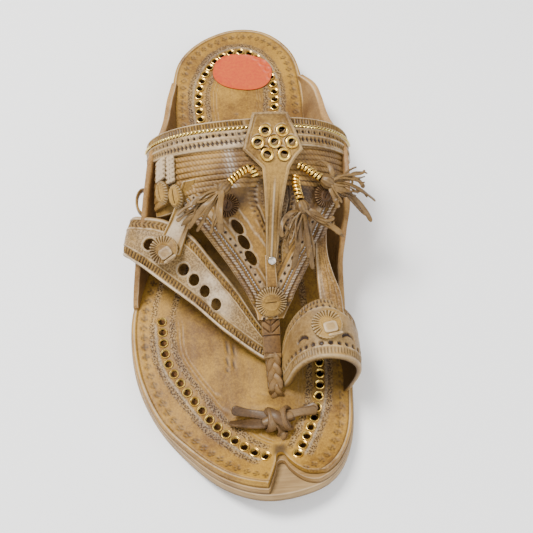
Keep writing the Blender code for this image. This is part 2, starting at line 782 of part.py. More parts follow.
def strap_solid(name, rows, stations, columns, thickness, crown=0.0, sink=0.0):
    """Strap of even thickness between the edges of its table. Its last end goes down by sink into a slot."""
    grid, normals = two_edge_grid(rows, stations, columns, crown)
    if sink:
        normals[-1, :, 2] = 0
        normals[-1] /= np.linalg.norm(normals[-1], axis=1, keepdims=True)
        grid = np.concatenate([grid, grid[-1:] - (0, 0, sink)])
        normals = np.concatenate([normals, normals[-1:]])
    return sheet_solid(name, grid + normals * thickness, grid, LEATHER)


def build_ear(name, rows, side, stations=15):
    """Side flap: a leaning wall that stands on the midsole beside the insole."""
    along = np.linspace(rows[0][0], rows[-1][0], stations) * LENGTH
    out, rise = table_at(rows, along / LENGTH)
    base = OUTSOLE_THICKNESS + MIDSOLE_THICKNESS + 2 * GAP
    y, z = sole_profile(along, base)
    left, right = sole_edges(along, INSOLE_INSET)
    edge = left if side < 0 else right
    grids = []
    for layer in (0.0, EAR_THICKNESS):
        columns = []
        for share in (0.0, 0.35, 0.7, 1.0):
            x = edge - side * layer + side * out * BALL_WIDTH * share**1.5
            columns.append(np.stack([x, y, z + np.maximum(rise, 0.07) * INSTEP_HEIGHT * share], axis=1))
        grids.append(np.stack(columns, axis=1))
    return sheet_solid(name, grids[0], grids[1], LEATHER)


def build_post():
    """Flat strap of the toe post, ending in its slot in the insole."""
    dense = curve_through(POST, 9)
    centre = np.array([place(*row) for row in dense])
    sink = POST[-1][2] * INSTEP_HEIGHT + INSOLE_THICKNESS - GAP
    centre = np.concatenate([centre, centre[-1:] - (0, 0, sink)])
    share = np.linspace(-0.5, 0.5, 3)
    grid = centre[:, None, :] + np.stack([share * POST_WIDTH, 0 * share, 0 * share], axis=1)[None]
    lift = np.gradient(centre, axis=0)
    normal = np.stack([0 * lift[:, 0], -lift[:, 2], lift[:, 1]], axis=1)
    normal /= np.linalg.norm(normal, axis=1, keepdims=True)
    normal *= np.where(normal[:, 1:2] > 0, -1, 1)
    return sheet_solid("post", grid, grid + normal[:, None, :] * -STRAP_THICKNESS, LEATHER)


def side_edges(rows, tilt):
    """Two-edge rows of a strap from its centre line and half width, with the far edge higher by tilt."""
    return [
        (across - half, along, rise, across + half, along, rise + tilt) for across, along, rise, half in rows
    ]


def build_upper():
    """Panel, ears, straps, toe ring and post, joined where they cross."""
    upper = build_panel()
    strap = strap_solid("cross_strap", CROSS_STRAP, 21, 4, STRAP_THICKNESS, 0.0012)
    grid, normals = two_edge_grid(CROSS_STRAP, 201, 11)
    drills = []
    for share, place_across in STRAP_WINDOWS:
        row, column = round(share * 200), round(place_across * 10)
        centre, normal = Vector(grid[row, column]), Vector(normals[row, column])
        drills.append(
            window_cutter(0, 0, WINDOW_HALF_WIDTH, STRAP_WINDOW_HALF_LENGTH, 0.6, centre, normal)
        )
    boolean(strap, drills, "DIFFERENCE")
    ring = strap_solid("toe_ring", TOE_RING, 19, 4, STRAP_THICKNESS, 0.0008, INSOLE_THICKNESS - GAP)
    back = strap_solid("ring_strap", side_edges(RING_STRAP, -0.02), 10, 3, STRAP_THICKNESS, 0.0006)
    tie = strap_solid("tie_strap", side_edges(TIE_STRAP, 0.04), 9, 3, STRAP_THICKNESS, 0.0005)
    side = strap_solid("side_strap", SIDE_STRAP, 6, 2, STRAP_THICKNESS)
    ears = [build_ear("outer_ear", EAR_OUTER, -1), build_ear("inner_ear", EAR_INNER, 1)]
    ribs = last_wall("ribs", rib_rows(), 0.0, STRAP_THICKNESS, 13)
    band = last_wall("instep_band", band_rows(), BAND_LIFT, STRAP_THICKNESS - BAND_LIFT, 13)
    boolean(upper, [ribs, band, *ears, build_post(), strap, ring, back, tie, side], "UNION")
    return tidy(upper)


def build_ornament():
    """Hexagonal head and long stem over the instep, drilled for its seven eyelets."""
    skin, relief = [], []
    for along, left, right, lift in ORNAMENT:
        x = np.linspace(left, right, 5) * BALL_WIDTH
        skin.append(last_point(x, along * LENGTH, lift * STRAP_THICKNESS))
        relief.append(ORNAMENT_THICKNESS)
    skin = np.array(skin)
    plate = sheet_solid("centre_ornament", skin + grid_normals(skin) * ORNAMENT_THICKNESS, skin, LEATHER)
    drills = []
    for number, (across, along) in enumerate(ornament_eyelets()):
        centre, normal = ornament_seat(across, along)
        bore = EYELET_RADIUS - EYELET_WALL
        drills.append(window_cutter(0, 0, bore, bore, 0.0, centre, normal))
        build_eyelet(f"ornament_eyelet_{number + 1}", centre, normal)
    tidy(boolean(plate, drills, "DIFFERENCE"))


def ornament_eyelets():
    """Centres of the seven eyelets: one in the middle and six round it."""
    centre = np.array([0.209 * BALL_WIDTH, 0.2515 * LENGTH])
    places = [centre]
    for k in range(6):
        turn = math.radians(60 * k)
        places.append(centre + 0.0072 * np.array([math.cos(turn), 0.80 * math.sin(turn)]))
    return places


def ornament_seat(across, along):
    """Top of the ornament's head and its normal there."""
    lift = ORNAMENT[0][3] * STRAP_THICKNESS + ORNAMENT_THICKNESS
    low, high = last_point(across, along, lift - 0.001), last_point(across, along, lift)
    return Vector(high), Vector(high - low).normalized()


def ring_faces(rings, segments):
    """Faces between each ring of points and the next."""
    faces = []
    for i in range(rings - 1):
        for j in range(segments):
            a, b = i * segments + j, i * segments + (j + 1) % segments
            faces.append((a, b, b + segments, a + segments))
    return faces


def turned(name, profile, segments, centre, normal, colour, flutes=0.0):
    """Turned piece from a closed profile of (radius, height), its rim fluted by a share of its radius."""
    profile = np.asarray(profile, float)
    turn = np.linspace(0, 2 * math.pi, segments, endpoint=False)
    wave = 1 + flutes * np.where(np.arange(segments) % 2, -1.0, 0.0)
    rotation = np.array(Vector((0, 0, 1)).rotation_difference(normal).to_matrix())
    rings = []
    for radius, height in profile:
        reach = radius * wave
        ring = np.stack([reach * np.cos(turn), reach * np.sin(turn), height + 0 * turn], axis=1)
        rings.append(ring @ rotation.T + np.array(centre))
    points = np.vstack(rings)
    count = len(profile)
    faces = []
    for i in range(count):
        for j in range(segments):
            a, b = i * segments + j, i * segments + (j + 1) % segments
            c, d = ((i + 1) % count) * segments + (j + 1) % segments, ((i + 1) % count) * segments + j
            faces.append((a, b, c, d))
    return add_mesh(name, points, faces, colour)


def build_eyelet(name, centre, normal):
    """Brass eyelet seated on the ornament: a flanged ring."""
    hole = EYELET_RADIUS - EYELET_WALL - GAP
    bore = hole - EYELET_WALL
    profile = (
        (bore, -0.0018),
        (hole, -0.0018),
        (hole, GAP),
        (EYELET_RADIUS + 0.0002, GAP),
        (EYELET_RADIUS - 0.0002, 0.0009),
        (bore + 0.0002, 0.0009),
    )
    turned(name, profile, 10, centre, normal, BRASS)


def disc(name, centre, normal, radius, thickness, colour=LEATHER, segments=16):
    """Fluted rosette with a raised middle, as a solid disc."""
    turn = np.linspace(0, 2 * math.pi, segments, endpoint=False)
    flute = np.where(np.arange(segments) % 2, 0.94, 1.0)
    rotation = np.array(Vector((0, 0, 1)).rotation_difference(normal).to_matrix())
    rings = []
    for share, height in ((0.90, 0.0), (1.0, 0.35), (0.93, 0.75), (0.45, 0.80), (0.36, 1.25)):
        ring = np.stack([np.cos(turn), np.sin(turn)], axis=1) * (radius * share * flute)[:, None]
        rings.append(np.hstack([ring, np.full((segments, 1), height * thickness)]))
    points = np.vstack(rings) @ rotation.T + np.array(centre)
    faces = [tuple(range(segments)), tuple(range(4 * segments, 5 * segments))]
    return add_mesh(name, points, faces + ring_faces(5, segments), colour)


def seat_on_last(across, along, lift):
    """Centre and normal of an ornament that sits on the instep panel."""
    x, y = across * BALL_WIDTH, along * LENGTH
    low, high = last_point(x, y, lift - 0.001), last_point(x, y, lift)
    return Vector(high), Vector(high - low).normalized()


def seat_on_strap(rows, share, place_across, lift):
    """Centre and normal of an ornament on a strap, at a share of its length and width."""
    grid, normals = two_edge_grid(rows, 101, 11, 0.0012)
    i, j = round(share * 100), round(place_across * 10)
    return Vector(grid[i, j] + normals[i, j] * lift), Vector(normals[i, j])


def build_rosettes():
    """Fluted rosettes on the throat, the panel, the lateral strap and the ring."""
    lift = STRAP_THICKNESS + EDGE_RELIEF + GAP
    small = 0.8 * ROSETTE_RADIUS
    throat_seat = seat_on_last(0.148, 0.029, lift + THROAT_ROSETTE_LIFT)
    disc("throat_rosette", *throat_seat, ROSETTE_RADIUS, ROSETTE_THICKNESS)
    disc("panel_rosette_outer", *seat_on_last(-0.010, 0.168, lift - PANEL_LIFT), small, ROSETTE_THICKNESS)
    disc("panel_rosette_inner", *seat_on_last(0.404, 0.180, lift), small, ROSETTE_THICKNESS)
    strap_seat = seat_on_strap(CROSS_STRAP, 0.50, 0.53, 2 * STRAP_THICKNESS + STRAP_ROSETTE_LIFT)
    disc("strap_rosette", *strap_seat, ROSETTE_RADIUS, ROSETTE_THICKNESS)
    ring_seat = seat_on_strap(TOE_RING, 0.45, 0.57, STRAP_THICKNESS)
    disc("ring_rosette", *ring_seat, 0.95 * ROSETTE_RADIUS, ROSETTE_THICKNESS)


def build_braid(rows=22):
    """Braid of the toe post: a strip with its strands raised, lying on the post."""
    dense = curve_through(POST, rows)
    dense = dense[dense[:, 1] < BRAID_START]
    centre = np.array([place(*row) for row in dense])
    step = np.gradient(centre, axis=0)
    normal = np.stack([0 * step[:, 0], step[:, 2], -step[:, 1]], axis=1)
    normal /= np.linalg.norm(normal, axis=1, keepdims=True)
    share = np.linspace(-0.5, 0.5, 5)
    side = np.stack([share * BRAID_WIDTH, 0 * share, 0 * share], axis=1)
    under = centre[:, None, :] + side[None] + normal[:, None, :] * GAP
    phase = np.arange(len(dense))[:, None] * math.pi / 2 + np.sign(share)[None] * math.pi / 2
    raised = BRAID_THICKNESS * (0.55 + 0.45 * (1 - (2 * share[None]) ** 2)) * (0.86 + 0.14 * np.sin(phase))
    sheet_solid("toe_post_braid", under + normal[:, None, :] * raised[..., None], under, LEATHER)


def ribbon(points, width, thickness, side):
    """Closed flat ribbon along points, lying flat at first with its width along side."""
    points = np.asarray(points, float)
    step = np.gradient(points, axis=0)
    step /= np.linalg.norm(step, axis=1, keepdims=True)
    across = np.empty_like(points)
    across[0] = side
    for k in range(len(points)):
        previous = across[max(k - 1, 0)]
        across[k] = previous - step[k] * (step[k] @ previous)
        across[k] /= np.linalg.norm(across[k])
    up = np.cross(step, across)
    taper = np.linspace(0.85, 1.0, len(points))[:, None]
    grids = [
        np.stack([points + across * width * taper * s + up * thickness * level for s in (-0.5, 0.5)], axis=1)
        for level in (0.5, -0.5)
    ]
    return sheet_solid("ribbon", grids[0], grids[1], LEATHER)


def blob(name, centre, radii, axis, colour=LEATHER):
    """Rounded bead stretched along an axis."""
    work = bmesh.new()
    rotation = Vector((0, 0, 1)).rotation_difference(Vector(axis)).to_matrix().to_4x4()
    matrix = Matrix.Translation(Vector(centre)) @ rotation @ Matrix.Diagonal((*radii, 1.0))
    bmesh.ops.create_icosphere(work, subdivisions=2, radius=1.0, matrix=matrix)
    mesh = bpy.data.meshes.new(name)
    work.to_mesh(mesh)
    work.free()
    mesh.materials.append(shade(colour))
    thing = bpy.data.objects.new(name, mesh)
    bpy.context.scene.collection.objects.link(thing)
    return thing


def coil_path(rows, samples):
    """Points along a coil's centre line, in metres."""
    dense = curve_through(rows, samples)
    return last_point(
        dense[:, 0] * BALL_WIDTH, dense[:, 1] * LENGTH, dense[:, 2] * STRAP_THICKNESS + COIL_RADIUS
    )


def tube(name, points, radii, segments, colour):
    """Closed tube along points with a radius at each."""
    points = np.asarray(points, float)
    step = np.gradient(points, axis=0)
    step /= np.linalg.norm(step, axis=1, keepdims=True)
    side = np.cross(step, (0, 0, 1))
    side /= np.linalg.norm(side, axis=1, keepdims=True)
    up = np.cross(side, step)
    turn = np.linspace(0, 2 * math.pi, segments, endpoint=False)
    rings = points[:, None] + np.asarray(radii)[:, None, None] * (
        side[:, None] * np.cos(turn)[None, :, None] + up[:, None] * np.sin(turn)[None, :, None]
    )
    count = len(points)
    faces = [tuple(range(segments)), tuple(range((count - 1) * segments, count * segments))]
    return add_mesh(name, rings.reshape(-1, 3), faces + ring_faces(count, segments), colour)


def build_coil(name, rows, turns=9):
    """Brass coil that carries a tassel: a tube with its windings as steps."""
    line = coil_path(rows, 2 * turns + 1)[: 2 * turns]
    radii = COIL_RADIUS * np.where(np.arange(2 * turns) % 2, 0.80, 1.0)
    tube(name + "_coil", line, radii, 6, BRASS)


def build_tassel(name, rows, fringe):
    """Leather tassel: a gathered head with strips fused on, which fan out and fall."""
    line = coil_path(rows, 41)
    axis = (line[-1] - line[-3]) / np.linalg.norm(line[-1] - line[-3])
    head = line[-1] + axis * (TASSEL_HEAD_REACH + 0.5 * GAP)
    body = blob(name, head, (TASSEL_HEAD_RADIUS, TASSEL_HEAD_RADIUS, TASSEL_HEAD_REACH), axis)
    share = np.linspace(0, 1, FRINGE_STATIONS)
    strips = []
    for number, (heading, length, turn, rise, width) in enumerate(fringe):
        angle = np.radians(heading + turn * share)
        step = np.stack([np.cos(angle), np.sin(angle), 0 * angle], axis=1) * length * LENGTH
        step /= FRINGE_STATIONS - 1
        fall = np.concatenate([[(0, 0, 0)], np.cumsum(0.5 * (step[1:] + step[:-1]), axis=0)])
        path = head + axis * TASSEL_HEAD_REACH / 3 + fall
        bulge = 0.0016 * math.cos(2.3 * number) * np.sin(math.pi * share)
        path[:, 2] += rise * LENGTH * share**1.6 + bulge + 0.00022 * (number - 3)
        side = (-math.sin(angle[0]), math.cos(angle[0]), 0.15 * (number % 3 - 1))
        strips.append(ribbon(path, FRINGE_WIDTH * width, FRINGE_THICKNESS, side))
    tidy(boolean(body, strips, "UNION"))


def build_knot():
    """Thong knot on the footbed behind the toe notch, with its four ends."""
    centre = place(0.133, -0.171, 0.0) + (0, 0, 1.07 * KNOT_RADII[2] + GAP)
    body = blob("toe_knot", centre, KNOT_RADII, (0, 0, 1))
    ends = []
    for across, along, rise in (
        (-0.175, 0.004, 0.0006),
        (-0.170, -0.020, -0.0008),
        (0.165, 0.010, 0.0004),
        (0.075, -0.022, -0.0012),
    ):
        reach = np.array((across * BALL_WIDTH, along * LENGTH, rise))
        path = centre + reach * np.linspace(0.1, 1, 4)[:, None]
        ends.append(ribbon(path, THONG_WIDTH, THONG_THICKNESS, (0, 1, 0)))
    tidy(boolean(body, ends, "UNION"))


def build_rolls(segments=16):
    """Two fluted leather rolls beside the band on the little-toe side."""
    turn = np.linspace(0, 2 * math.pi, segments, endpoint=False)
    flute = ROLL_RADIUS * np.where(np.arange(segments) % 2, 0.9, 1.0)
    for number, (across, along, lift) in enumerate(ROLLS):
        centre, normal = seat_on_last(across, along, lift * STRAP_THICKNESS)
        rings = []
        for place_along, share in ((-0.62, 0.55), (-0.37, 1.0), (0.37, 1.0), (0.62, 0.55)):
            x = place_along * ROLL_RADIUS + 0 * turn
            y, z = share * flute * np.cos(turn), 0.6 * share * flute * np.sin(turn)
            rings.append(np.stack([x, y, z], axis=1))
        rotation = np.array(Vector((0, 0, 1)).rotation_difference(normal).to_matrix())
        points = np.vstack(rings) @ rotation.T + np.array(centre)
        count = len(rings)
        faces = [tuple(range(segments)), tuple(range((count - 1) * segments, count * segments))]
        faces += ring_faces(count, segments)
        add_mesh(f"side_roll_{number + 1}", points, faces, LEATHER)


def smooth(angle=math.radians(35)):
    """Shades every piece smooth, with its real edges kept sharp."""
    for thing in bpy.data.objects:
        thing.data.shade_smooth()
        thing.data.set_sharp_from_angle(angle=angle)


def main():
    """Clears the scene and builds the sandal."""
    for thing in list(bpy.data.objects):
        bpy.data.objects.remove(thing)
    build_sole()
    build_upper()
    build_ornament()
    build_rosettes()
    build_braid()
    build_knot()
    build_rolls()
    for name, coil, fringe in TASSELS:
        build_coil(name, coil)
        build_tassel(name, coil, fringe)
    smooth()


main()
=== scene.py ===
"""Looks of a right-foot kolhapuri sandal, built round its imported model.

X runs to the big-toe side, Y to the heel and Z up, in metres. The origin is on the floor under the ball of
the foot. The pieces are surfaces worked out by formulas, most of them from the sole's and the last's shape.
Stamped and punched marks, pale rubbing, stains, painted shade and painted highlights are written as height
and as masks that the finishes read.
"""

import logging
import math
from dataclasses import dataclass, field
from enum import Enum
from typing import Callable, Optional, Sequence

import bpy
import numpy as np
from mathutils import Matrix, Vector


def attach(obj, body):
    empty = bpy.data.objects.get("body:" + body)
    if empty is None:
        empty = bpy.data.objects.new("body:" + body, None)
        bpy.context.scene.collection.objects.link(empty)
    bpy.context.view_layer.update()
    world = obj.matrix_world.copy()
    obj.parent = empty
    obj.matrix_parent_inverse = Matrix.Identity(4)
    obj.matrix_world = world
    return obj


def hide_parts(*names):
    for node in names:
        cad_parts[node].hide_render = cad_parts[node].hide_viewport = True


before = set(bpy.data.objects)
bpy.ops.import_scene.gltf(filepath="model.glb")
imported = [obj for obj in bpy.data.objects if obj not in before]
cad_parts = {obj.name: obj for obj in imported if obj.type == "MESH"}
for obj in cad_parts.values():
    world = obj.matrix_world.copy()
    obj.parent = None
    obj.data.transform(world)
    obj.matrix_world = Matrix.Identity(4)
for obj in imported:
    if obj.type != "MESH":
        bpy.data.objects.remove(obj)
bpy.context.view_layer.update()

Array = np.ndarray
Table = Sequence[Sequence[float]]

LOG = logging.getLogger("sandal")
MM = 0.001
STRAP_THICKNESS = 2.2 * MM
BODY = "root"


class Mask(Enum):
    """Names of the point attributes that the finishes read."""

    # The dark mask: stains and painted shade.
    PIT = "pit"
    # The pale mask: rubbing and painted highlights.
    RUB = "rub"
    FOIL = "foil"
    STIPPLE = "stipple"


class Slot(Enum):
    """Material slots of the record."""

    FOOTBED = "footbed_leather"
    SOLE = "sole_leather"
    EDGE = "edge_leather"
    STRAP = "strap_leather"
    TRIM = "trim_leather"
    FRINGE = "fringe_leather"
    BRASS = "brass"


def ease(x: Array) -> Array:
    """Smooth step from 0 to 1: 3x^2 - 2x^3 of x held between 0 and 1."""
    x = np.clip(x, 0.0, 1.0)
    return x * x * (3.0 - 2.0 * x)


def stroke(distance: Array, half: float, soft: float = 0.18 * MM) -> Array:
    """1 within half of a line and 0 outside it, eased over soft.

    Args:
        distance: signed distance from the line, in metres.
        half: half the line's width.
        soft: width of the eased border.

    Returns:
        The mask, with distance's shape.
    """
    return 1.0 - ease((np.abs(distance) - half) / soft + 0.5)


def repeat(u: Array, pitch: float, phase: float = 0.0) -> Array:
    """Signed distance from u to the nearest whole number of pitches, shifted by phase of a pitch."""
    return ((u / pitch - phase + 0.5) % 1.0 - 0.5) * pitch


def slits(
    u: Array, v: Array, pitch: float, half_width: float, half_length: float, lean: float = 0.0
) -> Array:
    """Mask of a row of short slits that stand across the line v = 0, one each pitch, leaning by lean."""
    return stroke(repeat(u + lean * v, pitch), half_width) * stroke(v, half_length)


def dots(u: Array, v: Array, pitch: float, radius: float) -> Array:
    """Mask of round dots on the line v = 0, one each pitch: the distance to the dot's centre under radius."""
    return stroke(np.hypot(repeat(u, pitch), v), radius)


def drops(u: Array, v: Array, pitch: float, half_width: float, half_length: float) -> Array:
    """Mask of diamonds on the line v = 0: |u| / half_width + |v| / half_length under 1."""
    reach = np.abs(repeat(u, pitch)) / half_width + np.abs(v) / half_length
    return 1.0 - ease((reach - 1.0) * 2.5 + 0.5)


def cord_height(u: Array, x: Array, half: float, pitch: float, depth: float = 0.35) -> Array:
    """Height share of a twisted cord along u, centred on x = 0.

    A half-round section, sqrt(1 - (x / half)^2), is notched by diagonal valleys: depth times the cosine of
    the phase u / pitch + x / (2 half).
    """
    share = np.clip(np.abs(x) / half, 0.0, 1.0)
    twist = 0.5 + 0.5 * np.cos(2.0 * math.pi * (u / pitch + 0.5 * x / half))
    return np.sqrt(1.0 - share**2) * (1.0 - depth + depth * twist)


def noise(seed: int, *coordinates: Array) -> Array:
    """Smooth noise of about -1 to 1: a sum of seven sines of the coordinates, with seeded directions."""
    rng = np.random.default_rng(seed)
    total = np.zeros_like(coordinates[0])
    for octave in range(7):
        direction = rng.normal(size=len(coordinates)) * 1.5**octave
        phase = rng.uniform(0.0, 2.0 * math.pi)
        total = total + np.sin(sum(d * c for d, c in zip(direction, coordinates)) + phase) / 1.35**octave
    return total / 3.0


def superellipse(turn: Array, square: float) -> tuple[Array, Array]:
    """Point at an angle t of a superellipse of half size 1.

    It is (|cos t|^(2 / square), |sin t|^(2 / square)), with the signs of the cosine and the sine.
    """
    across, up = (np.sign(part) * np.abs(part) ** (2 / square) for part in (np.cos(turn), np.sin(turn)))
    return across, up


def upright_to(normal: Array) -> Array:
    """Rotation matrix that takes the Z axis to a normal."""
    return np.array(Vector((0, 0, 1)).rotation_difference(Vector(normal)).to_matrix())


def ring_quads(index: Array) -> Array:
    """Faces between closed rings of points, from the points' numbers, rings by points."""
    after = np.roll(index, -1, axis=1)
    return np.stack([index[:-1], after[:-1], after[1:], index[1:]], axis=2).reshape(-1, 4)


def unit(vectors: Array) -> Array:
    """Vectors divided by their length along the last axis."""
    return vectors / np.maximum(np.linalg.norm(vectors, axis=-1, keepdims=True), 1e-12)


def blend_rows(padded: Array, places: Array) -> Array:
    """Catmull-Rom values at places, counted in rows from the second of the padded rows."""
    index = np.minimum(places.astype(int), len(padded) - 4)
    t = (places - index)[:, None]
    a, b, c, d = (padded[index + k] for k in range(4))
    return 0.5 * (2 * b + (c - a) * t + (2 * a - 5 * b + 4 * c - d) * t**2 + (3 * b - a - 3 * c + d) * t**3)


def curve_through(rows: Table, samples: int) -> Array:
    """Catmull-Rom curve through the rows of a table, sampled evenly in row number."""
    table = np.asarray(rows, float)
    padded = np.vstack([2 * table[0] - table[1], table, 2 * table[-1] - table[-2]])
    return blend_rows(padded, np.linspace(0, len(table) - 1, samples))


def closed_curve(rows: Table, samples: int) -> Array:
    """Catmull-Rom curve round a closed table of rows."""
    table = np.asarray(rows, float)
    padded = np.vstack([table[-1], table, table[0], table[1]])
    return blend_rows(padded, np.linspace(0, len(table), samples, endpoint=False))


def table_at(rows: Table, along: Array) -> list[Array]:
    """Values of a table's other columns where its first column is along, on a smooth curve."""
    dense = curve_through(rows, 160)
    order = np.argsort(dense[:, 0])
    return [np.interp(along, dense[order, 0], dense[order, k]) for k in range(1, dense.shape[1])]


def lengths(points: Array) -> Array:
    """Length along a line of points up to each point."""
    steps = np.linalg.norm(np.diff(points, axis=0), axis=-1)
    return np.concatenate([np.zeros((1,) + steps.shape[1:]), np.cumsum(steps, axis=0)])


def even(points: Array, count: int) -> Array:
    """The same line with count points an even length apart."""
    run = lengths(points)
    stations = np.linspace(0.0, run[-1], count)
    return np.stack([np.interp(stations, run, points[:, k]) for k in range(points.shape[1])], axis=1)


def spot(x: Array, y: Array, place: Sequence[float], size: Sequence[float]) -> Array:
    """Soft patch, exp(-(x / half)^4 - (y / half)^4) from its place, with place and size in millimetres."""
    shares = ((part / MM - middle) / half for part, middle, half in zip((x, y), place, size))
    return np.exp(-sum(share**4 for share in shares))


def edge_places(points: Array, edge: Array) -> tuple[Array, Array]:
    """Length along an edge and distance from it, for each point.

    The nearest point of the edge is found, and the point's offset from it is split along the edge's tangent
    (added to the length) and across it (the distance).
    """
    tangent = unit(np.gradient(edge, axis=0))
    run = lengths(edge)
    flat = points.reshape(-1, points.shape[-1])
    along, away = np.empty(len(flat)), np.empty(len(flat))
    block = 6000
    for start in range(0, len(flat), block):
        part = flat[start : start + block]
        square = (part**2).sum(1)[:, None] - 2 * part @ edge.T + (edge**2).sum(1)[None]
        near = square.argmin(1)
        offset = part - edge[near]
        forward = (offset * tangent[near]).sum(1)
        along[start : start + block] = run[near] + forward
        away[start : start + block] = np.linalg.norm(offset - tangent[near] * forward[:, None], axis=1)
    return along.reshape(points.shape[:-1]), away.reshape(points.shape[:-1])


@dataclass
class Relief:
    """Height over a surface and the masks of its finish, all arrays of one shape."""

    height: Array
    pit: Array
    rub: Array
    foil: Array
    stipple: Array

    @classmethod
    def flat(cls, shape: Sequence[int]) -> "Relief":
        """Relief with nothing on it."""
        return cls(*(np.zeros(shape) for _ in range(5)))

    def raise_by(self, height: Array) -> None:
        """Adds to the height."""
        self.height = self.height + height

    def darken(self, share: Array) -> None:
        """Darkens the surface by share, where it isn't darker already, for stains and for painted shade."""
        self.pit = np.maximum(self.pit, share)

    def wear_and_painted_shading(self, share: Array) -> None:
        """Pales the surface by share, where it isn't paler already, for rubbing and for painted highlights.
        """
        self.rub = np.maximum(self.rub, share)

    def gild(self, share: Array) -> None:
        """Lays foil on the surface by share, where there isn't more already."""
        self.foil = np.maximum(self.foil, share)

    def punch(self, share: Array) -> None:
        """Stipples the surface by share, where it isn't stippled more already."""
        self.stipple = np.maximum(self.stipple, share)

    def groove(self, mask: Array, depth: float, stain_and_shade: float = 0.7) -> None:
        """Sinks the surface by depth where mask is 1, and darkens it by the given share, for stains and
        painted shade.
        """
        self.raise_by(-depth * mask)
        self.darken(stain_and_shade * mask)

    def ridge(self, mask: Array, height: float, rub: float = 0.4) -> None:
        """Raises the surface by height where mask is 1, and pales it by the given share, for rubbing and
        painted highlight.
        """
        self.raise_by(height * mask)
        self.wear_and_painted_shading(rub * mask)

    def lines(self, gap: Array, rows: Table, within: Array = 1.0) -> None:
        """Scores and raises lines along an edge.

        Args:
            gap: distance from the edge, in metres.
            rows: distance, half width, soft border and height of each line in millimetres, and how much a
                line
            that lies deeper darkens, for stains and painted shade, or one that stands up pales, for rubbing
            and painted highlight.
            within: share of the lines' height and masks.
        """
        for place, half, soft, height, share in rows:
            mask = stroke(gap - place * MM, half * MM, soft * MM) * within
            if height < 0:
                self.groove(mask, -height * MM, share)
            else:
                self.ridge(mask, height * MM, share)

    def cuts(self, u: Array, gap: Array, rows: Table, within: Array = 1.0) -> None:
        """Cuts rows of slits along an edge.

        Args:
            u: length along the edge, in metres.
            gap: distance from the edge, in metres.
            rows: distance, pitch, half width, half length and depth of each row in millimetres, then its
            lean and how much it darkens, for stains and painted shade.
            within: share of the slits' depth and stain.
        """
        for place, pitch, half_width, half_length, depth, lean, stain_and_shade in rows:
            mask = slits(u, gap - place * MM, pitch * MM, half_width * MM, half_length * MM, lean)
            self.groove(mask * within, depth * MM, stain_and_shade)

    def holes(self, u: Array, gap: Array, rows: Table, within: Array = 1.0) -> None:
        """Punches rows of dark round dots along an edge.

        Args:
            u: length along the edge, in metres.
            gap: distance from the edge, in metres.
            rows: distance, pitch, radius and depth of each row in millimetres.
            within: share of the dots' depth and stain.
        """
        for place, pitch, radius, depth in rows:
            self.groove(dots(u, gap - place * MM, pitch * MM, radius * MM) * within, depth * MM, 1.0)

    def cord(self, share: Array, height: float, foil: float = 0.0, rub: float = 0.0) -> None:
        """Lays a cord of that height share: foil, rubbing and painted highlight on its crests, painted shade
        in its valleys.
        """
        inside = share > 0.0
        self.raise_by(height * share)
        self.darken(np.where(inside, 0.75 * (1.0 - ease(share * 1.5)), 0.0))
        self.gild(np.where(inside, foil * ease((share - 0.55) * 4.0), 0.0))
        self.wear_and_painted_shading(np.where(inside, rub * ease((share - 0.6) * 3.0), 0.0))

    def round_edge(self, distance: Array, radius: float, rub: float = 0.35) -> None:
        """Rounds the surface down at an edge: radius - sqrt(radius^2 - (radius - distance)^2)."""
        short = np.clip(radius - distance, 0.0, radius)
        self.raise_by(np.sqrt(np.maximum(radius**2 - short**2, 0.0)) - radius)
        # A pale band just inside the edge, for rubbing and a painted highlight.
        self.wear_and_painted_shading(rub * stroke(distance - 0.6 * radius, 0.4 * radius, 0.5 * radius))

    def masks(self) -> dict[str, Array]:
        """The masks by the names of their attributes."""
        return {mask.value: getattr(self, mask.value) for mask in Mask}


@dataclass
class Shell:
    """Points, faces and masks of one or more closed surfaces."""

    points: Array
    quads: Array
    masks: dict[str, Array] = field(default_factory=dict)
    caps: list[tuple[int, ...]] = field(default_factory=list)

    def facing_out(self) -> "Shell":
        """The shell turned so that its faces point out: the volume under its faces is positive."""
        a, b, c, d = (self.points[self.quads[:, k]] for k in range(4))
        middle = self.points.mean(0)
        volume = np.einsum("ij,ij->", np.cross(c - a, d - b), (a + b + c + d) / 4 - middle)
        if volume < 0:
            self.quads = self.quads[:, ::-1]
            self.caps = [cap[::-1] for cap in self.caps]
        return self

    @staticmethod
    def joined(shells: Sequence["Shell"]) -> "Shell":
        """One shell that holds them all, each still closed by itself."""
        starts = np.concatenate([[0], np.cumsum([len(s.points) for s in shells])])
        names = [mask.value for mask in Mask]
        return Shell(
            np.vstack([s.points for s in shells]),
            np.vstack([s.quads + start for s, start in zip(shells, starts)]),
            {n: np.concatenate([s.masks.get(n, np.zeros(len(s.points))) for s in shells]) for n in names},
            [tuple(int(i) + int(start) for i in cap) for s, start in zip(shells, starts) for cap in s.caps],
        )

    def piece(self, name: str, finish: "Finish", *nodes: str, sharp: float = 40.0) -> bpy.types.Object:
        """Makes the shell an object of the scene.

        Args:
            name: the piece's name.
            finish: what dresses it.
            nodes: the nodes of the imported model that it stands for.
            sharp: angle in degrees past which an edge stays sharp.

        Returns:
            The object, riding on the sandal's body.
        """
        mesh = bpy.data.meshes.new(name)
        faces = self.quads.tolist() + [tuple(int(i) for i in cap) for cap in self.caps]
        mesh.from_pydata(self.points.tolist(), [], faces)
        for mask, values in self.masks.items():
            layer = mesh.attributes.new(mask, "FLOAT", "POINT")
            layer.data.foreach_set("value", np.clip(values, 0.0, 1.0).astype(np.float32))
        mesh.shade_smooth()
        mesh.set_sharp_from_angle(angle=math.radians(sharp))
        thing = bpy.data.objects.new(name, mesh)
        bpy.context.scene.collection.objects.link(thing)
        mesh.materials.append(finish.material())
        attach(thing, BODY)
        if nodes:
            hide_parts(*nodes)
        LOG.info("%s: %d points, %d faces", name, len(self.points), len(faces))
        return thing


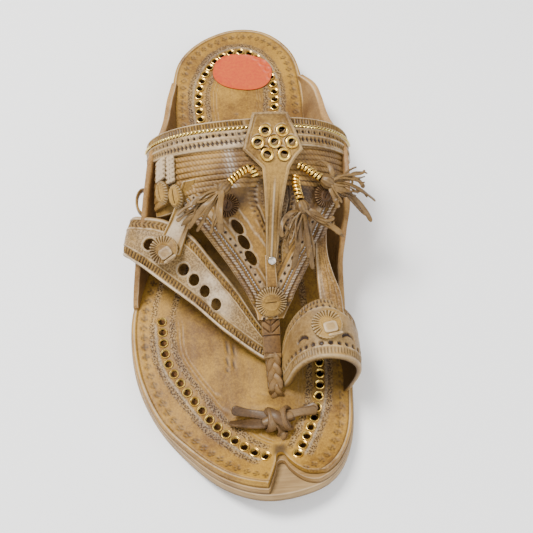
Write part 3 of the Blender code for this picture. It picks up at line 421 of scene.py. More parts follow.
@dataclass(frozen=True)
class Hole:
    """Oval hole in a sheet, by its centre and half sizes along and across the sheet, and its turn."""

    along: float
    across: float
    half_along: float
    half_across: float
    turn: float = 0.0

    def reach(self, u: Array, v: Array) -> tuple[Array, Array, Array]:
        """Offsets from the centre and the share of the way to the rim, 1 on the rim itself."""
        x, y = u - self.along, v - self.across
        c, s = math.cos(self.turn), math.sin(self.turn)
        return x, y, np.hypot((c * x + s * y) / self.half_along, (c * y - s * x) / self.half_across)


def sheet_shell(
    grid: Array, normals: Array, thickness: float, relief: Relief, under_shade: float = 0.5,
    holes: Sequence[Hole] = (), u: Optional[Array] = None, v: Optional[Array] = None,
) -> Shell:
    """Closed sheet over a grid of points: its top is the grid raised along the normals, its bottom the grid.

    Faces wholly inside a hole are left out, and the points round it slide along the sheet to its rim. A wall
    then joins the top and the bottom along every edge that only one face has.

    Args:
        grid: bottom points, rows by columns by 3.
        normals: unit normals of the same shape, towards the top.
        thickness: height of the plain top over the grid.
        relief: height and masks of the top.
        under_shade: how dark the underside is, as painted shade.
        holes: oval holes.
        u: length along the sheet at each point, which holes need.
        v: length across the sheet at each point, which holes need.

    Returns:
        The closed shell.
    """
    rows, columns = grid.shape[:2]
    keep = np.ones((rows - 1, columns - 1), bool)
    slide = np.zeros_like(grid)
    for hole in holes:
        x, y, reach = hole.reach(u, v)
        inside = reach < 1.0
        keep &= ~(inside[:-1, :-1] & inside[1:, :-1] & inside[:-1, 1:] & inside[1:, 1:])
        grow = np.where(inside, 1.0 / np.maximum(reach, 0.2) - 1.0, 0.0)[..., None]
        along, across = (unit(np.gradient(grid, axis=axis)) for axis in (0, 1))
        slide += grow * (x[..., None] * along + y[..., None] * across)
    top = grid + slide + normals * (thickness + relief.height)[..., None]
    index = np.arange(rows * columns).reshape(rows, columns)
    corners = [index[:-1, :-1], index[:-1, 1:], index[1:, 1:], index[1:, :-1]]
    faces = np.stack([c[keep] for c in corners], axis=1)
    edges = np.concatenate([faces[:, [k, (k + 1) % 4]] for k in range(4)])
    keys = edges.min(1) * (rows * columns) + edges.max(1)
    _, place, count = np.unique(keys, return_index=True, return_counts=True)
    rim = edges[place[count == 1]]
    lower = rows * columns
    walls = np.stack([rim[:, 1], rim[:, 0], rim[:, 0] + lower, rim[:, 1] + lower], axis=1)
    quads = np.concatenate([faces, faces[:, ::-1] + lower, walls])
    points = np.concatenate([top.reshape(-1, 3), (grid + slide).reshape(-1, 3)])
    masks = {}
    for name, values in relief.masks().items():
        under = np.full(rows * columns, under_shade if name == Mask.PIT.value else 0.0)
        masks[name] = np.concatenate([values.reshape(-1), under])
    used, fresh = np.unique(quads, return_inverse=True)
    masks = {name: values[used] for name, values in masks.items()}
    return Shell(points[used], fresh.reshape(quads.shape), masks).facing_out()


def away_normals(grid: Array, middle: Array) -> Array:
    """Unit normals of a grid, on the side that faces away from a middle line along Y."""
    normals = unit(np.cross(np.gradient(grid, axis=1), np.gradient(grid, axis=0)))
    away = grid - middle
    away[..., 1] = 0.0
    return normals * np.sign(np.sum(normals * away))


def sweep_shell(
    path: Array, half_widths: Array, half_heights: Array, side: Array, segments: int = 10, square: float = 2.0
) -> Shell:
    """Closed tube along a path with a superellipse section.

    The section's width lies along side, carried down the path with no twist, and its height along the cross
    product of the path's tangent and side. A point of the section is (|cos t|^(2 / square) half width,
    |sin t|^(2 / square) half height), with the signs of the cosine and the sine.

    Args:
        path: the centre line.
        half_widths: half the width at each point of the path, or one value.
        half_heights: half the height at each point, or one value.
        side: direction of the width at the start, or at each point.
        segments: points round the section.
        square: the superellipse's exponent, 2 for an ellipse.

    Returns:
        The closed shell, its ends drawn in to small flat caps.
    """
    path = np.asarray(path, float)
    count = len(path)
    tangent = unit(np.gradient(path, axis=0))
    across = np.array(np.broadcast_to(np.asarray(side, float), path.shape))
    if np.ndim(side) == 1:
        for k in range(1, count):
            across[k] = across[k - 1] - tangent[k] * (tangent[k] @ across[k - 1])
            across[k] /= np.linalg.norm(across[k])
    across = unit(across - tangent * np.sum(across * tangent, axis=1, keepdims=True))
    up = np.cross(tangent, across)
    turn = np.linspace(0, 2 * math.pi, segments, endpoint=False)
    c, s = superellipse(turn, square)
    wide = np.broadcast_to(half_widths, (count,)).astype(float)
    high = np.broadcast_to(half_heights, (count,)).astype(float)
    stations = np.concatenate([[0], np.arange(count), [count - 1]])
    cap_size, cap_reach = 0.55, 0.35
    draw = np.ones(count + 2)
    draw[[0, -1]] = cap_size
    push = np.zeros(count + 2)
    push[0], push[-1] = -cap_reach, cap_reach
    reach = (push * np.minimum(wide, high)[stations])[:, None] * tangent[stations]
    centre = path[stations] + reach
    rings = (
        centre[:, None]
        + (wide[stations] * draw)[:, None, None] * c[None, :, None] * across[stations][:, None]
        + (high[stations] * draw)[:, None, None] * s[None, :, None] * up[stations][:, None]
    )
    index = np.arange(len(stations) * segments).reshape(len(stations), segments)
    caps = [tuple(index[0][::-1]), tuple(index[-1])]
    # Painted shade on the lower half of the section and a painted highlight along its top.
    lower = np.broadcast_to(0.35 * np.clip(-s, 0, 1), (len(stations), segments)).reshape(-1)
    crest = np.broadcast_to(0.3 * np.clip(s, 0, 1) ** 4, (len(stations), segments)).reshape(-1)
    masks = {Mask.PIT.value: lower.copy(), Mask.RUB.value: crest.copy()}
    return Shell(rings.reshape(-1, 3), ring_quads(index), masks, caps).facing_out()


def turned_shell(profile: Array, segments: int, centre: Array, normal: Array) -> Shell:
    """Turned ring from a closed profile of radius and height, set with its axis along a normal.

    Args:
        profile: radius and height of each point, round the profile.
        segments: points round the axis.
        centre: where the profile's height 0 lies.
        normal: the axis.

    Returns:
        The closed shell.
    """
    turn = np.linspace(0, 2 * math.pi, segments, endpoint=False)
    radius, height = profile[:, :1], profile[:, 1:]
    rings = np.stack([radius * np.cos(turn), radius * np.sin(turn), height + 0 * turn], axis=2)
    points = rings.reshape(-1, 3) @ upright_to(normal).T + np.asarray(centre)
    index = np.arange(len(profile) * segments).reshape(len(profile), segments)
    after, below = np.roll(index, -1, axis=1), np.roll(index, -1, axis=0)
    quads = np.stack([index, after, np.roll(below, -1, axis=1), below], axis=2).reshape(-1, 4)
    return Shell(points, quads).facing_out()


@dataclass(frozen=True)
class SoleForm:
    """The sole's outline and its profile from toe to heel.

    The sole lies flat under the ball, curls up on an arc at the toe and climbs a smooth ramp to the heel.
    Shares in the outline are of the ball's width and of the length.
    """

    length: float = 0.270
    ball_width: float = 0.105
    outsole: float = 0.0034
    midsole: float = 0.0026
    insole: float = 0.0026
    heel_lift: float = 0.008
    gap: float = 0.0003
    spring_radius: float = 0.070
    spring_start: float = -0.155
    ramp: tuple[float, float] = (0.10, 0.33)
    heel_breast: float = 0.36
    insole_inset: float = 0.0012
    notch_step: float = 0.0026
    outline_rows: Table = (
        (0.100, 0.706), (-0.098, 0.676), (-0.230, 0.614), (-0.270, 0.518), (-0.275, 0.420), (-0.300, 0.300),
        (-0.365, 0.200), (-0.450, 0.118), (-0.500, 0.030), (-0.478, -0.068), (-0.395, -0.150),
        (-0.262, -0.220), (-0.106, -0.281), (0.060, -0.3115), (0.235, -0.303), (0.362, -0.272),
        (0.450, -0.207), (0.485, -0.120), (0.500, -0.010), (0.500, 0.100), (0.470, 0.190), (0.440, 0.300),
        (0.442, 0.410), (0.450, 0.510), (0.420, 0.618), (0.290, 0.687),
    )
    notch_rows: Table = (
        (0.044, -0.335), (0.064, -0.312), (0.088, -0.282), (0.108, -0.256), (0.113, -0.243), (0.128, -0.236),
        (0.149, -0.239), (0.163, -0.251), (0.192, -0.267), (0.226, -0.279), (0.262, -0.284), (0.308, -0.2835),
        (0.350, -0.281), (0.395, -0.266),
    )

    @property
    def footbed(self) -> float:
        """Top of the insole above the outsole's underside."""
        return self.outsole + self.midsole + self.insole + 2 * self.gap

    @property
    def middle(self) -> Array:
        """Point of the line under the instep that the upper's faces look away from."""
        return np.array((0.11 * self.ball_width, 0.0, self.footbed))

    def size(self, rows: Table) -> Array:
        """A table of shares across and along, in metres."""
        return np.asarray(rows, float) * (self.ball_width, self.length)

    def outline(self, samples: int = 900) -> Array:
        """Points round the outline in the flat pattern, evenly from the heel round by the outer side."""
        loop = self.size(closed_curve(self.outline_rows, 4 * samples))
        loop = np.roll(loop, -int(np.argmax(loop[:, 1])), axis=0)
        return even(np.vstack([loop, loop[:1]]), samples + 1)[:-1]

    def inset(self, loop: Array, distance: float) -> Array:
        """A closed loop moved in by a distance along its normals."""
        step = unit(np.roll(loop, -1, axis=0) - np.roll(loop, 1, axis=0))
        return loop + distance * np.stack([-step[:, 1], step[:, 0]], axis=1)

    def edges(self, along: Array, inset: float = 0.0) -> tuple[Array, Array]:
        """Outer (little-toe) and inner (big-toe) edge of the sole at places along it."""
        loop = self.outline(320)
        toe = int(np.argmin(loop[:, 1]))
        outer, inner = loop[: toe + 1], np.vstack([loop[toe:], loop[:1]])
        middle = (loop[:, 1].max() + loop[:, 1].min()) / 2
        reach = (loop[:, 1].max() - loop[:, 1].min()) / 2
        place = middle + (along - middle) * reach / (reach - inset)
        left = np.interp(place, outer[::-1, 1], outer[::-1, 0])
        return left + inset, np.interp(place, inner[:, 1], inner[:, 0]) - inset

    def profile(self, along: Array, height: Array) -> tuple[Array, Array]:
        """Y and Z of a point in the sole: along its flat pattern and height above its underside."""
        along = np.asarray(along, float)
        start = self.spring_start * self.length
        angle = np.clip((start - along) / self.spring_radius, 0, None)
        arm = self.spring_radius - height
        y = np.where(along < start, start - arm * np.sin(angle), along)
        z = np.where(along < start, self.spring_radius - arm * np.cos(angle), height)
        low, high = self.ramp
        share = np.clip((along / self.length - low) / (high - low), 0, 1)
        climb = self.heel_lift * share**2 * (3 - 2 * share)
        tilt = np.arctan(self.heel_lift * 6 * share * (1 - share) / ((high - low) * self.length))
        return y - height * np.sin(tilt), z + climb + height * (np.cos(tilt) - 1)

    def footbed_z(self, along: Array) -> Array:
        """Z of the footbed at a place along the sole."""
        return self.profile(along, self.footbed)[1]

    def place(self, across: Array, along: Array, rise: Array, instep: float) -> Array:
        """Points from shares of the ball's width, the length and, above the footbed, the instep's height."""
        y = np.asarray(along) * self.length
        return np.stack(
            [np.asarray(across) * self.ball_width, y, self.footbed_z(y) + np.asarray(rise) * instep], -1
        )


@dataclass(frozen=True)
class LastForm:
    """The last's skin over the instep.

    A section across the foot is a half superellipse: height (1 - |x / half|^n)^(1 / n), with the centre, the
    half width and the height read from the table, as shares of the ball's width and of the instep's height.
    """

    sole: SoleForm
    instep: float = 0.048
    squareness: float = 2.6
    rows: Table = (
        (-0.150, 0.130, 0.400, 0.10), (0.000, 0.114, 0.430, 0.27), (0.037, 0.106, 0.450, 0.37),
        (0.093, 0.100, 0.462, 0.58), (0.155, 0.100, 0.466, 0.80), (0.222, 0.104, 0.464, 0.97),
        (0.289, 0.108, 0.462, 1.04), (0.370, 0.108, 0.455, 1.10),
    )

    def skin(self, x: Array, y: Array) -> Array:
        """Z of the skin at a place across and along."""
        centre, half, height = table_at(self.rows, y / self.sole.length)
        share = np.clip(np.abs(x - centre * self.sole.ball_width) / (half * self.sole.ball_width), 0, 0.995)
        rise = height * self.instep * (1 - share**self.squareness) ** (1 / self.squareness)
        return self.sole.footbed_z(y) + rise

    def point(self, x: Array, y: Array, lift: Array = 0.0) -> Array:
        """Point on the skin, raised by lift along the skin's normal."""
        x, y = np.broadcast_arrays(np.asarray(x, float), np.asarray(y, float))
        reach = 0.4 * MM
        slope_x = (self.skin(x + reach, y) - self.skin(x - reach, y)) / (2 * reach)
        slope_y = (self.skin(x, y + reach) - self.skin(x, y - reach)) / (2 * reach)
        normal = unit(np.stack([-slope_x, -slope_y, np.ones_like(slope_x)], axis=-1))
        return np.stack([x, y, self.skin(x, y)], axis=-1) + normal * np.asarray(lift)[..., None]

    def section(self, along: float, left: float, right: float, columns: int) -> Array:
        """Places across from left to right that step evenly round the section at along."""
        centre, half, _ = table_at(self.rows, along / self.sole.length)
        centre, half = centre * self.sole.ball_width, half * self.sole.ball_width
        share = np.clip((np.array([left, right]) - centre) / half, -0.995, 0.995)
        first, last = np.arcsin(np.sign(share) * np.abs(share) ** (self.squareness / 2))
        turns = np.linspace(first, last, columns)
        return centre + half * superellipse(turns, self.squareness)[1]

    def wall(self, rows: Array, lift: float, columns: int, inner_sweep: float) -> tuple[Array, Array]:
        """Grid that follows the skin, and its normals.

        Args:
            rows: along, sweep, left and right of each row, as shares of the length and the ball's width.
            lift: height of the grid over the skin.
            columns: points in a row.
            inner_sweep: share of the sweep that the big-toe side takes.

        Returns:
            The points and the unit normals, rows by columns by 3.
        """
        side = np.linspace(-1, 1, columns)
        grid = []
        for along, sweep, left, right in rows:
            y, width = along * self.sole.length, self.sole.ball_width
            row = self.point(self.section(y, left * width, right * width, columns), y, lift)
            row[:, 1] += np.where(side < 0, 1.0, inner_sweep) * sweep * self.sole.length * side**2
            grid.append(row)
        grid = np.array(grid)
        return grid, away_normals(grid, self.sole.middle)

    def seat(self, across: float, along: float, lift: float) -> tuple[Array, Array]:
        """Centre and normal of what sits on the skin at shares across and along."""
        x, y = across * self.sole.ball_width, along * self.sole.length
        low, high = self.point(x, y, lift - MM), self.point(x, y, lift)
        return high, unit(high - low)


@dataclass(frozen=True)
class PhotoView:
    """The camera: its place, turn and lens, for a square frame of 533 pixels."""

    azimuth: float = -5.0
    elevation: float = 61.0
    distance: float = 0.400
    focal: float = 800.0
    frame_size: float = 533.0
    target: tuple[float, float, float] = (0.016, 0.034, 0.010)
    sensor: float = 36.0

    def axes(self) -> tuple[Array, Array, Array]:
        """Unit vectors of the view: forward, right and up."""
        a, e = math.radians(self.azimuth), math.radians(self.elevation)
        forward = np.array([-math.sin(a) * math.cos(e), math.cos(a) * math.cos(e), -math.sin(e)])
        right = np.array([math.cos(a), math.sin(a), 0.0])
        return forward, right, np.cross(right, forward)

    def place(self) -> Array:
        """Where the camera stands."""
        return np.array(self.target) - self.axes()[0] * self.distance

    def build(self) -> bpy.types.Object:
        """The camera object, made the scene's own."""
        lens = bpy.data.cameras.new("photo_view")
        lens.sensor_width = self.sensor
        lens.lens = self.focal / self.frame_size * self.sensor
        lens.clip_start = 0.01
        camera = bpy.data.objects.new("photo_view", lens)
        camera.location = self.place()
        camera.rotation_euler = (math.radians(90 - self.elevation), 0.0, math.radians(self.azimuth))
        bpy.context.scene.collection.objects.link(camera)
        bpy.context.scene.camera = camera
        return camera


def srgb(red: int, green: int, blue: int) -> tuple[float, float, float, float]:
    """Linear colour of 8-bit display values: ((c + 0.055) / 1.055)^2.4, or c / 12.92 in the dark."""
    shares = (value / 255.0 for value in (red, green, blue))
    linear = [((c + 0.055) / 1.055) ** 2.4 if c > 0.04045 else c / 12.92 for c in shares]
    return (*linear, 1.0)


class Nodes:
    """Short hand for a node tree: adds nodes, sets their values and joins their sockets."""

    def __init__(self, tree: bpy.types.NodeTree) -> None:
        """Wraps the tree."""
        self.tree = tree

    def add(self, kind: str, inputs: Optional[dict] = None, **settings: object) -> bpy.types.Node:
        """Adds a node.

        Args:
            kind: the node's type name, without its ShaderNode prefix.
            inputs: a value, or an output socket to link, for each input by name or number.
            settings: the node's own properties.

        Returns:
            The node.
        """
        prefix = "" if kind.startswith("NodeGroup") else "ShaderNode"
        node = self.tree.nodes.new(prefix + kind)
        for name, value in settings.items():
            setattr(node, name, value)
        for name, value in (inputs or {}).items():
            if isinstance(value, bpy.types.NodeSocket):
                self.tree.links.new(value, node.inputs[name])
            else:
                node.inputs[name].default_value = value
        return node

    def math(self, operation: str, a: object, b: object = 0.0) -> bpy.types.NodeSocket:
        """Result of an operation on two values or sockets."""
        return self.add("Math", {0: a, 1: b}, operation=operation).outputs[0]

    def plus(self, a: object, b: object) -> bpy.types.NodeSocket:
        """The sum of two."""
        return self.math("ADD", a, b)

    def less(self, a: object, b: object) -> bpy.types.NodeSocket:
        """The first without the second."""
        return self.math("SUBTRACT", a, b)

    def times(self, a: object, b: object) -> bpy.types.NodeSocket:
        """The product of two."""
        return self.math("MULTIPLY", a, b)

    def noise(self, spot: object, scale: float, detail: float) -> bpy.types.NodeSocket:
        """Cloudy noise between 0 and 1."""
        return self.add("TexNoise", {"Vector": spot, "Scale": scale, "Detail": detail}).outputs["Fac"]

    def link(self, value: bpy.types.NodeSocket, node: bpy.types.Node, name: str) -> None:
        """Joins an output to a node's named input."""
        self.tree.links.new(value, node.inputs[name])

    def bump(self, height: object, strength: float, distance: float, shader: bpy.types.Node) -> None:
        """Makes a height the shader's bump."""
        node = self.add("Bump", {"Strength": strength, "Distance": distance, "Height": height})
        self.link(node.outputs["Normal"], shader, "Normal")

    def mix(self, factor: object, a: object, b: object) -> bpy.types.NodeSocket:
        """Colour between a and b."""
        node = self.add("Mix", {0: factor, 6: a, 7: b}, data_type="RGBA")
        return node.outputs[2]

    def mask(self, name: Mask) -> bpy.types.NodeSocket:
        """A point attribute."""
        return self.add("Attribute", attribute_name=name.value).outputs["Fac"]

    def ramp(self, value: object, low: float, high: float) -> bpy.types.NodeSocket:
        """Value mapped from low to high onto 0 to 1, held there."""
        node = self.add("MapRange", {"Value": value, "From Min": low, "From Max": high})
        return node.outputs["Result"]


def shared_group(
    name: str, inputs: Sequence[tuple[str, str]], outputs: Sequence[tuple[str, str]]
) -> Optional[Nodes]:
    """New shader node group with named sockets, or None where it is there already."""
    if name in bpy.data.node_groups:
        return None
    tree = bpy.data.node_groups.new(name, "ShaderNodeTree")
    for socket, kind in inputs:
        tree.interface.new_socket(socket, in_out="INPUT", socket_type=kind)
    for socket, kind in outputs:
        tree.interface.new_socket(socket, in_out="OUTPUT", socket_type=kind)
    return Nodes(tree)


def hide_grain() -> bpy.types.NodeTree:
    """Group: the grain of leather. Mottled tone, pores and fibres, as a tone from 0 to 1 and a height."""
    name = "hide_grain"
    nodes = shared_group(
        name, [("Vector", "NodeSocketVector"), ("Scale", "NodeSocketFloat")],
        [("Tone", "NodeSocketFloat"), ("Height", "NodeSocketFloat"), ("Pores", "NodeSocketFloat")],
    )
    if nodes:
        source = nodes.add("NodeGroupInput").outputs
        spot = nodes.add(
            "VectorMath", {0: source["Vector"], 3: source["Scale"]}, operation="SCALE"
        ).outputs[0]
        cloud = nodes.add("TexNoise", {"Vector": spot, "Scale": 45.0, "Detail": 5.0, "Roughness": 0.62})
        fine = nodes.add("TexNoise", {"Vector": spot, "Scale": 900.0, "Detail": 3.0, "Roughness": 0.6})
        cells = nodes.add("TexVoronoi", {"Vector": spot, "Scale": 1500.0})
        pores = nodes.ramp(cells.outputs["Distance"], 0.05, 0.55)
        tone = nodes.plus(nodes.times(cloud.outputs["Fac"], 0.7),
                          nodes.times(fine.outputs["Fac"], 0.3))
        height = nodes.plus(nodes.times(fine.outputs["Fac"], 0.6),
                            nodes.times(pores, 0.4))
        out = nodes.add("NodeGroupOutput")
        nodes.link(tone, out, "Tone")
        nodes.link(height, out, "Height")
        nodes.link(pores, out, "Pores")
    return bpy.data.node_groups[name]


def stipple_marks() -> bpy.types.NodeTree:
    """Group: the matting punch. Crowded small dark dents with pale rims, as two masks and a height."""
    name = "stipple_marks"
    nodes = shared_group(
        name, [("Vector", "NodeSocketVector"), ("Amount", "NodeSocketFloat")],
        [("Dark", "NodeSocketFloat"), ("Pale", "NodeSocketFloat"), ("Height", "NodeSocketFloat")],
    )
    if nodes:
        source = nodes.add("NodeGroupInput").outputs
        cells = nodes.add("TexVoronoi", {"Vector": source["Vector"], "Scale": 1250.0, "Randomness": 1.0})
        patch = nodes.add("TexNoise", {"Vector": source["Vector"], "Scale": 260.0, "Detail": 2.0})
        dent = nodes.less(1.0, nodes.ramp(cells.outputs["Distance"], 0.26, 0.6))
        rim = nodes.ramp(cells.outputs["Distance"], 0.45, 0.75)
        where = nodes.times(source["Amount"], nodes.ramp(patch.outputs["Fac"], 0.15, 0.42))
        out = nodes.add("NodeGroupOutput")
        nodes.link(nodes.times(dent, where), out, "Dark")
        nodes.link(nodes.times(rim, where), out, "Pale")
        nodes.link(nodes.times(dent, where), out, "Height")
    return bpy.data.node_groups[name]


Colour = tuple[float, float, float, float]


@dataclass(frozen=True)
class Finish:
    """What every finish has: its material's name and its slot of the record."""

    name: str
    slot: Slot

    def material(self) -> bpy.types.Material:
        """The finish's material, made once."""
        made = bpy.data.materials.get(self.name)
        if made is None:
            made = bpy.data.materials.new(self.name)
            made.use_nodes = True
            nodes = Nodes(made.node_tree)
            self.dress(nodes, made.node_tree.nodes["Principled BSDF"])
        return made

    def dress(self, nodes: Nodes, shader: bpy.types.Node) -> None:
        """Fills the material's tree."""


@dataclass(frozen=True)
class Leather(Finish):
    """Leather: stains and painted shade in stamped pits, rubbing and painted highlights on raised parts,
    bright gilt threads.
    """

    light: Colour = srgb(206, 172, 122)
    dark: Colour = srgb(164, 124, 76)
    # Colour of pores, stipple dents, stains and painted shade.
    stain_and_shade: Colour = srgb(44, 28, 18)
    # Colour of rubbing and painted highlights.
    rubbed_and_highlight: Colour = srgb(194, 176, 150)
    foil: Colour = srgb(190, 184, 178)
    roughness: float = 0.52
    grain: float = 1.0
    bump: float = 0.35
    specular: float = 0.3

    def dress(self, nodes: Nodes, shader: bpy.types.Node) -> None:
        """Mixes light and dark by the grain's tone, then stains and painted shade, rubbing and painted
        highlight, and foil by their masks.
        """
        spot = nodes.add("TexCoord").outputs["Object"]
        grain = nodes.add("Group", {}, node_tree=hide_grain())
        nodes.link(spot, grain, "Vector")
        grain.inputs["Scale"].default_value = self.grain
        marks = nodes.add("Group", {}, node_tree=stipple_marks())
        nodes.link(spot, marks, "Vector")
        nodes.link(nodes.mask(Mask.STIPPLE), marks, "Amount")
        pit, rub, foil = (nodes.mask(mask) for mask in (Mask.PIT, Mask.RUB, Mask.FOIL))
        tone = nodes.ramp(grain.outputs["Tone"], 0.4, 0.6)
        colour = nodes.mix(tone, self.dark, self.light)
        colour = nodes.mix(nodes.times(grain.outputs["Pores"], 0.22), colour, self.stain_and_shade)
        colour = nodes.mix(marks.outputs["Dark"], colour, self.stain_and_shade)
        colour = nodes.mix(nodes.times(marks.outputs["Pale"], 0.25), colour, self.rubbed_and_highlight)
        worn_and_highlight = nodes.times(rub, nodes.ramp(grain.outputs["Tone"], 0.3, 0.5))
        colour = nodes.mix(worn_and_highlight, colour, self.rubbed_and_highlight)
        colour = nodes.mix(pit, colour, self.stain_and_shade)
        colour = nodes.mix(foil, colour, self.foil)
        nodes.link(colour, shader, "Base Color")
        nodes.link(nodes.times(foil, 0.55), shader, "Metallic")
        rough = nodes.plus(self.roughness - 0.12, nodes.times(grain.outputs["Tone"], 0.24))
        rough = nodes.less(rough, nodes.times(nodes.math("MAXIMUM", foil, worn_and_highlight), 0.18))
        nodes.link(rough, shader, "Roughness")
        shader.inputs["Specular IOR Level"].default_value = self.specular
        height = nodes.less(grain.outputs["Height"], nodes.times(marks.outputs["Height"], 1.6))
        nodes.bump(height, self.bump, 0.15 * MM, shader)


@dataclass(frozen=True)
class CutEdge(Finish):
    """Burnished cut edge of stacked leather, with fibres along the layers."""

    light: Colour = srgb(170, 134, 92)
    dark: Colour = srgb(112, 82, 54)
    layer: float = 0.0

    def dress(self, nodes: Nodes, shader: bpy.types.Node) -> None:
        """Mixes light and dark by noise drawn out along the layers, with a dark line at each joint."""
        spot = nodes.add("TexCoord").outputs["Object"]
        drawn = nodes.add("Mapping", {"Vector": spot, "Scale": (60.0, 60.0, 1600.0)}).outputs[0]
        fibres = nodes.noise(drawn, 1.0, 4.0)
        cloud = nodes.noise(spot, 90.0, 4.0)
        tone = nodes.plus(nodes.times(fibres, 0.6), nodes.times(cloud, 0.4))
        colour = nodes.mix(nodes.ramp(tone, 0.28, 0.72), self.dark, self.light)
        shader.inputs["Specular IOR Level"].default_value = 0.3
        height = fibres
        if self.layer:
            level = nodes.add("SeparateXYZ", {0: spot}).outputs["Z"]
            phase = nodes.math("FRACT", nodes.math("DIVIDE", level, self.layer))
            gap = nodes.math("ABSOLUTE", nodes.less(phase, 0.5))
            joint = nodes.less(1.0, nodes.ramp(gap, 0.0, 0.09))
            colour = nodes.mix(nodes.times(joint, 0.7), colour, srgb(60, 42, 30))
            height = nodes.less(fibres, joint)
        colour = nodes.mix(nodes.mask(Mask.PIT), colour, srgb(58, 40, 28))
        colour = nodes.mix(nodes.mask(Mask.RUB), colour, srgb(196, 176, 152))
        nodes.link(colour, shader, "Base Color")
        nodes.link(nodes.plus(0.42, nodes.times(tone, 0.3)), shader, "Roughness")
        nodes.bump(height, 0.4, 0.2 * MM, shader)


@dataclass(frozen=True)
class Brass(Finish):
    """Bright brass, darkened with painted shade in throats, folds, the coil's core and on undersides."""

    bright: Colour = srgb(250, 214, 118)
    dull: Colour = srgb(196, 148, 62)
    metallic: float = 1.0

    def dress(self, nodes: Nodes, shader: bpy.types.Node) -> None:
        """Mixes bright and dull by noise, and lays on painted shade where the dark mask is set."""
        spot = nodes.add("TexCoord").outputs["Object"]
        cloud = nodes.noise(spot, 400.0, 4.0)
        colour = nodes.mix(nodes.ramp(cloud, 0.4, 0.65), self.bright, self.dull)
        # Dark brown of the painted shade.
        colour = nodes.mix(nodes.mask(Mask.PIT), colour, srgb(38, 24, 12))
        nodes.link(colour, shader, "Base Color")
        nodes.link(nodes.plus(0.16, nodes.times(cloud, 0.22)), shader, "Roughness")
        shader.inputs["Metallic"].default_value = self.metallic


@dataclass(frozen=True)
class Paper(Finish):
    """Plain matt printed paper, thin enough to show what lies under it."""

    colour: Colour = srgb(188, 78, 0)

    def dress(self, nodes: Nodes, shader: bpy.types.Node) -> None:
        """One colour, faintly mottled, darker over the bumps below."""
        spot = nodes.add("TexCoord").outputs["Object"]
        cloud = nodes.noise(spot, 700.0, 3.0)
        colour = nodes.mix(nodes.ramp(cloud, 0.2, 0.9), self.colour, srgb(168, 38, 4))
        colour = nodes.mix(nodes.mask(Mask.PIT), colour, srgb(150, 66, 34))
        nodes.link(colour, shader, "Base Color")
        nodes.link(nodes.plus(0.5, nodes.times(cloud, 0.15)), shader, "Roughness")


FOOTBED = Leather("tooled_footbed", Slot.FOOTBED, srgb(172, 130, 46), srgb(114, 78, 24), bump=0.45)
STRAP = Leather("pale_strap", Slot.STRAP, srgb(156, 120, 52), srgb(108, 78, 28))
PANEL = Leather("panel_hide", Slot.STRAP, srgb(164, 124, 54), srgb(104, 72, 26))
EAR = Leather("ear_hide", Slot.STRAP, srgb(186, 144, 84), srgb(134, 98, 54), stain_and_shade=srgb(60, 40, 26))
TRIM = Leather("trim_hide", Slot.TRIM, srgb(164, 128, 60), srgb(106, 76, 28), bump=0.5)
BRAID = Leather("braid_hide", Slot.TRIM, srgb(120, 86, 42), srgb(72, 48, 20), rubbed_and_highlight=srgb(150, 122, 80))
DARK_TRIM = Leather(
    "dark_trim_hide", Slot.TRIM, srgb(100, 68, 34), srgb(60, 40, 20), rubbed_and_highlight=srgb(130, 100, 60)
)
FRINGE = Leather(
    "fringe_hide", Slot.FRINGE, srgb(122, 92, 46), srgb(74, 52, 24), roughness=0.46, rubbed_and_highlight=srgb(146, 118, 76)
)
THONG = Leather(
    "thong_hide", Slot.TRIM, srgb(112, 84, 52), srgb(68, 50, 30), roughness=0.44, rubbed_and_highlight=srgb(150, 122, 84)
)
OUTSOLE = CutEdge("outsole_edge", Slot.SOLE, srgb(166, 138, 96), srgb(120, 94, 60))
MIDSOLE = CutEdge("midsole_edge", Slot.EDGE, srgb(158, 126, 78), srgb(106, 78, 42))
HEEL = CutEdge("heel_edge", Slot.SOLE, srgb(170, 138, 100), srgb(118, 88, 58), layer=2.6 * MM)
BRASS = Brass("rolled_brass", Slot.BRASS)
GILT = Brass("gilt_thread", Slot.BRASS, srgb(246, 222, 140), srgb(214, 180, 92))
RIVET = Brass("rivet_steel", Slot.BRASS, srgb(196, 190, 182), srgb(160, 150, 138))
LABEL = Paper("plain_label", Slot.FOOTBED)


@dataclass(frozen=True)
class Layer:
    """One leather layer of the sole: its heights, inset from the outline and the shift of its toe notch."""

    low: float
    high: float
    inset: float
    notch_shift: Optional[float] = None
    samples: int = 560
    rings: tuple[float, ...] = (0.0, 0.25, 0.7, 1.6, 4.0, 10.0, 20.0)
    """Distances in from the edge, in millimetres, where the top has a ring of points."""


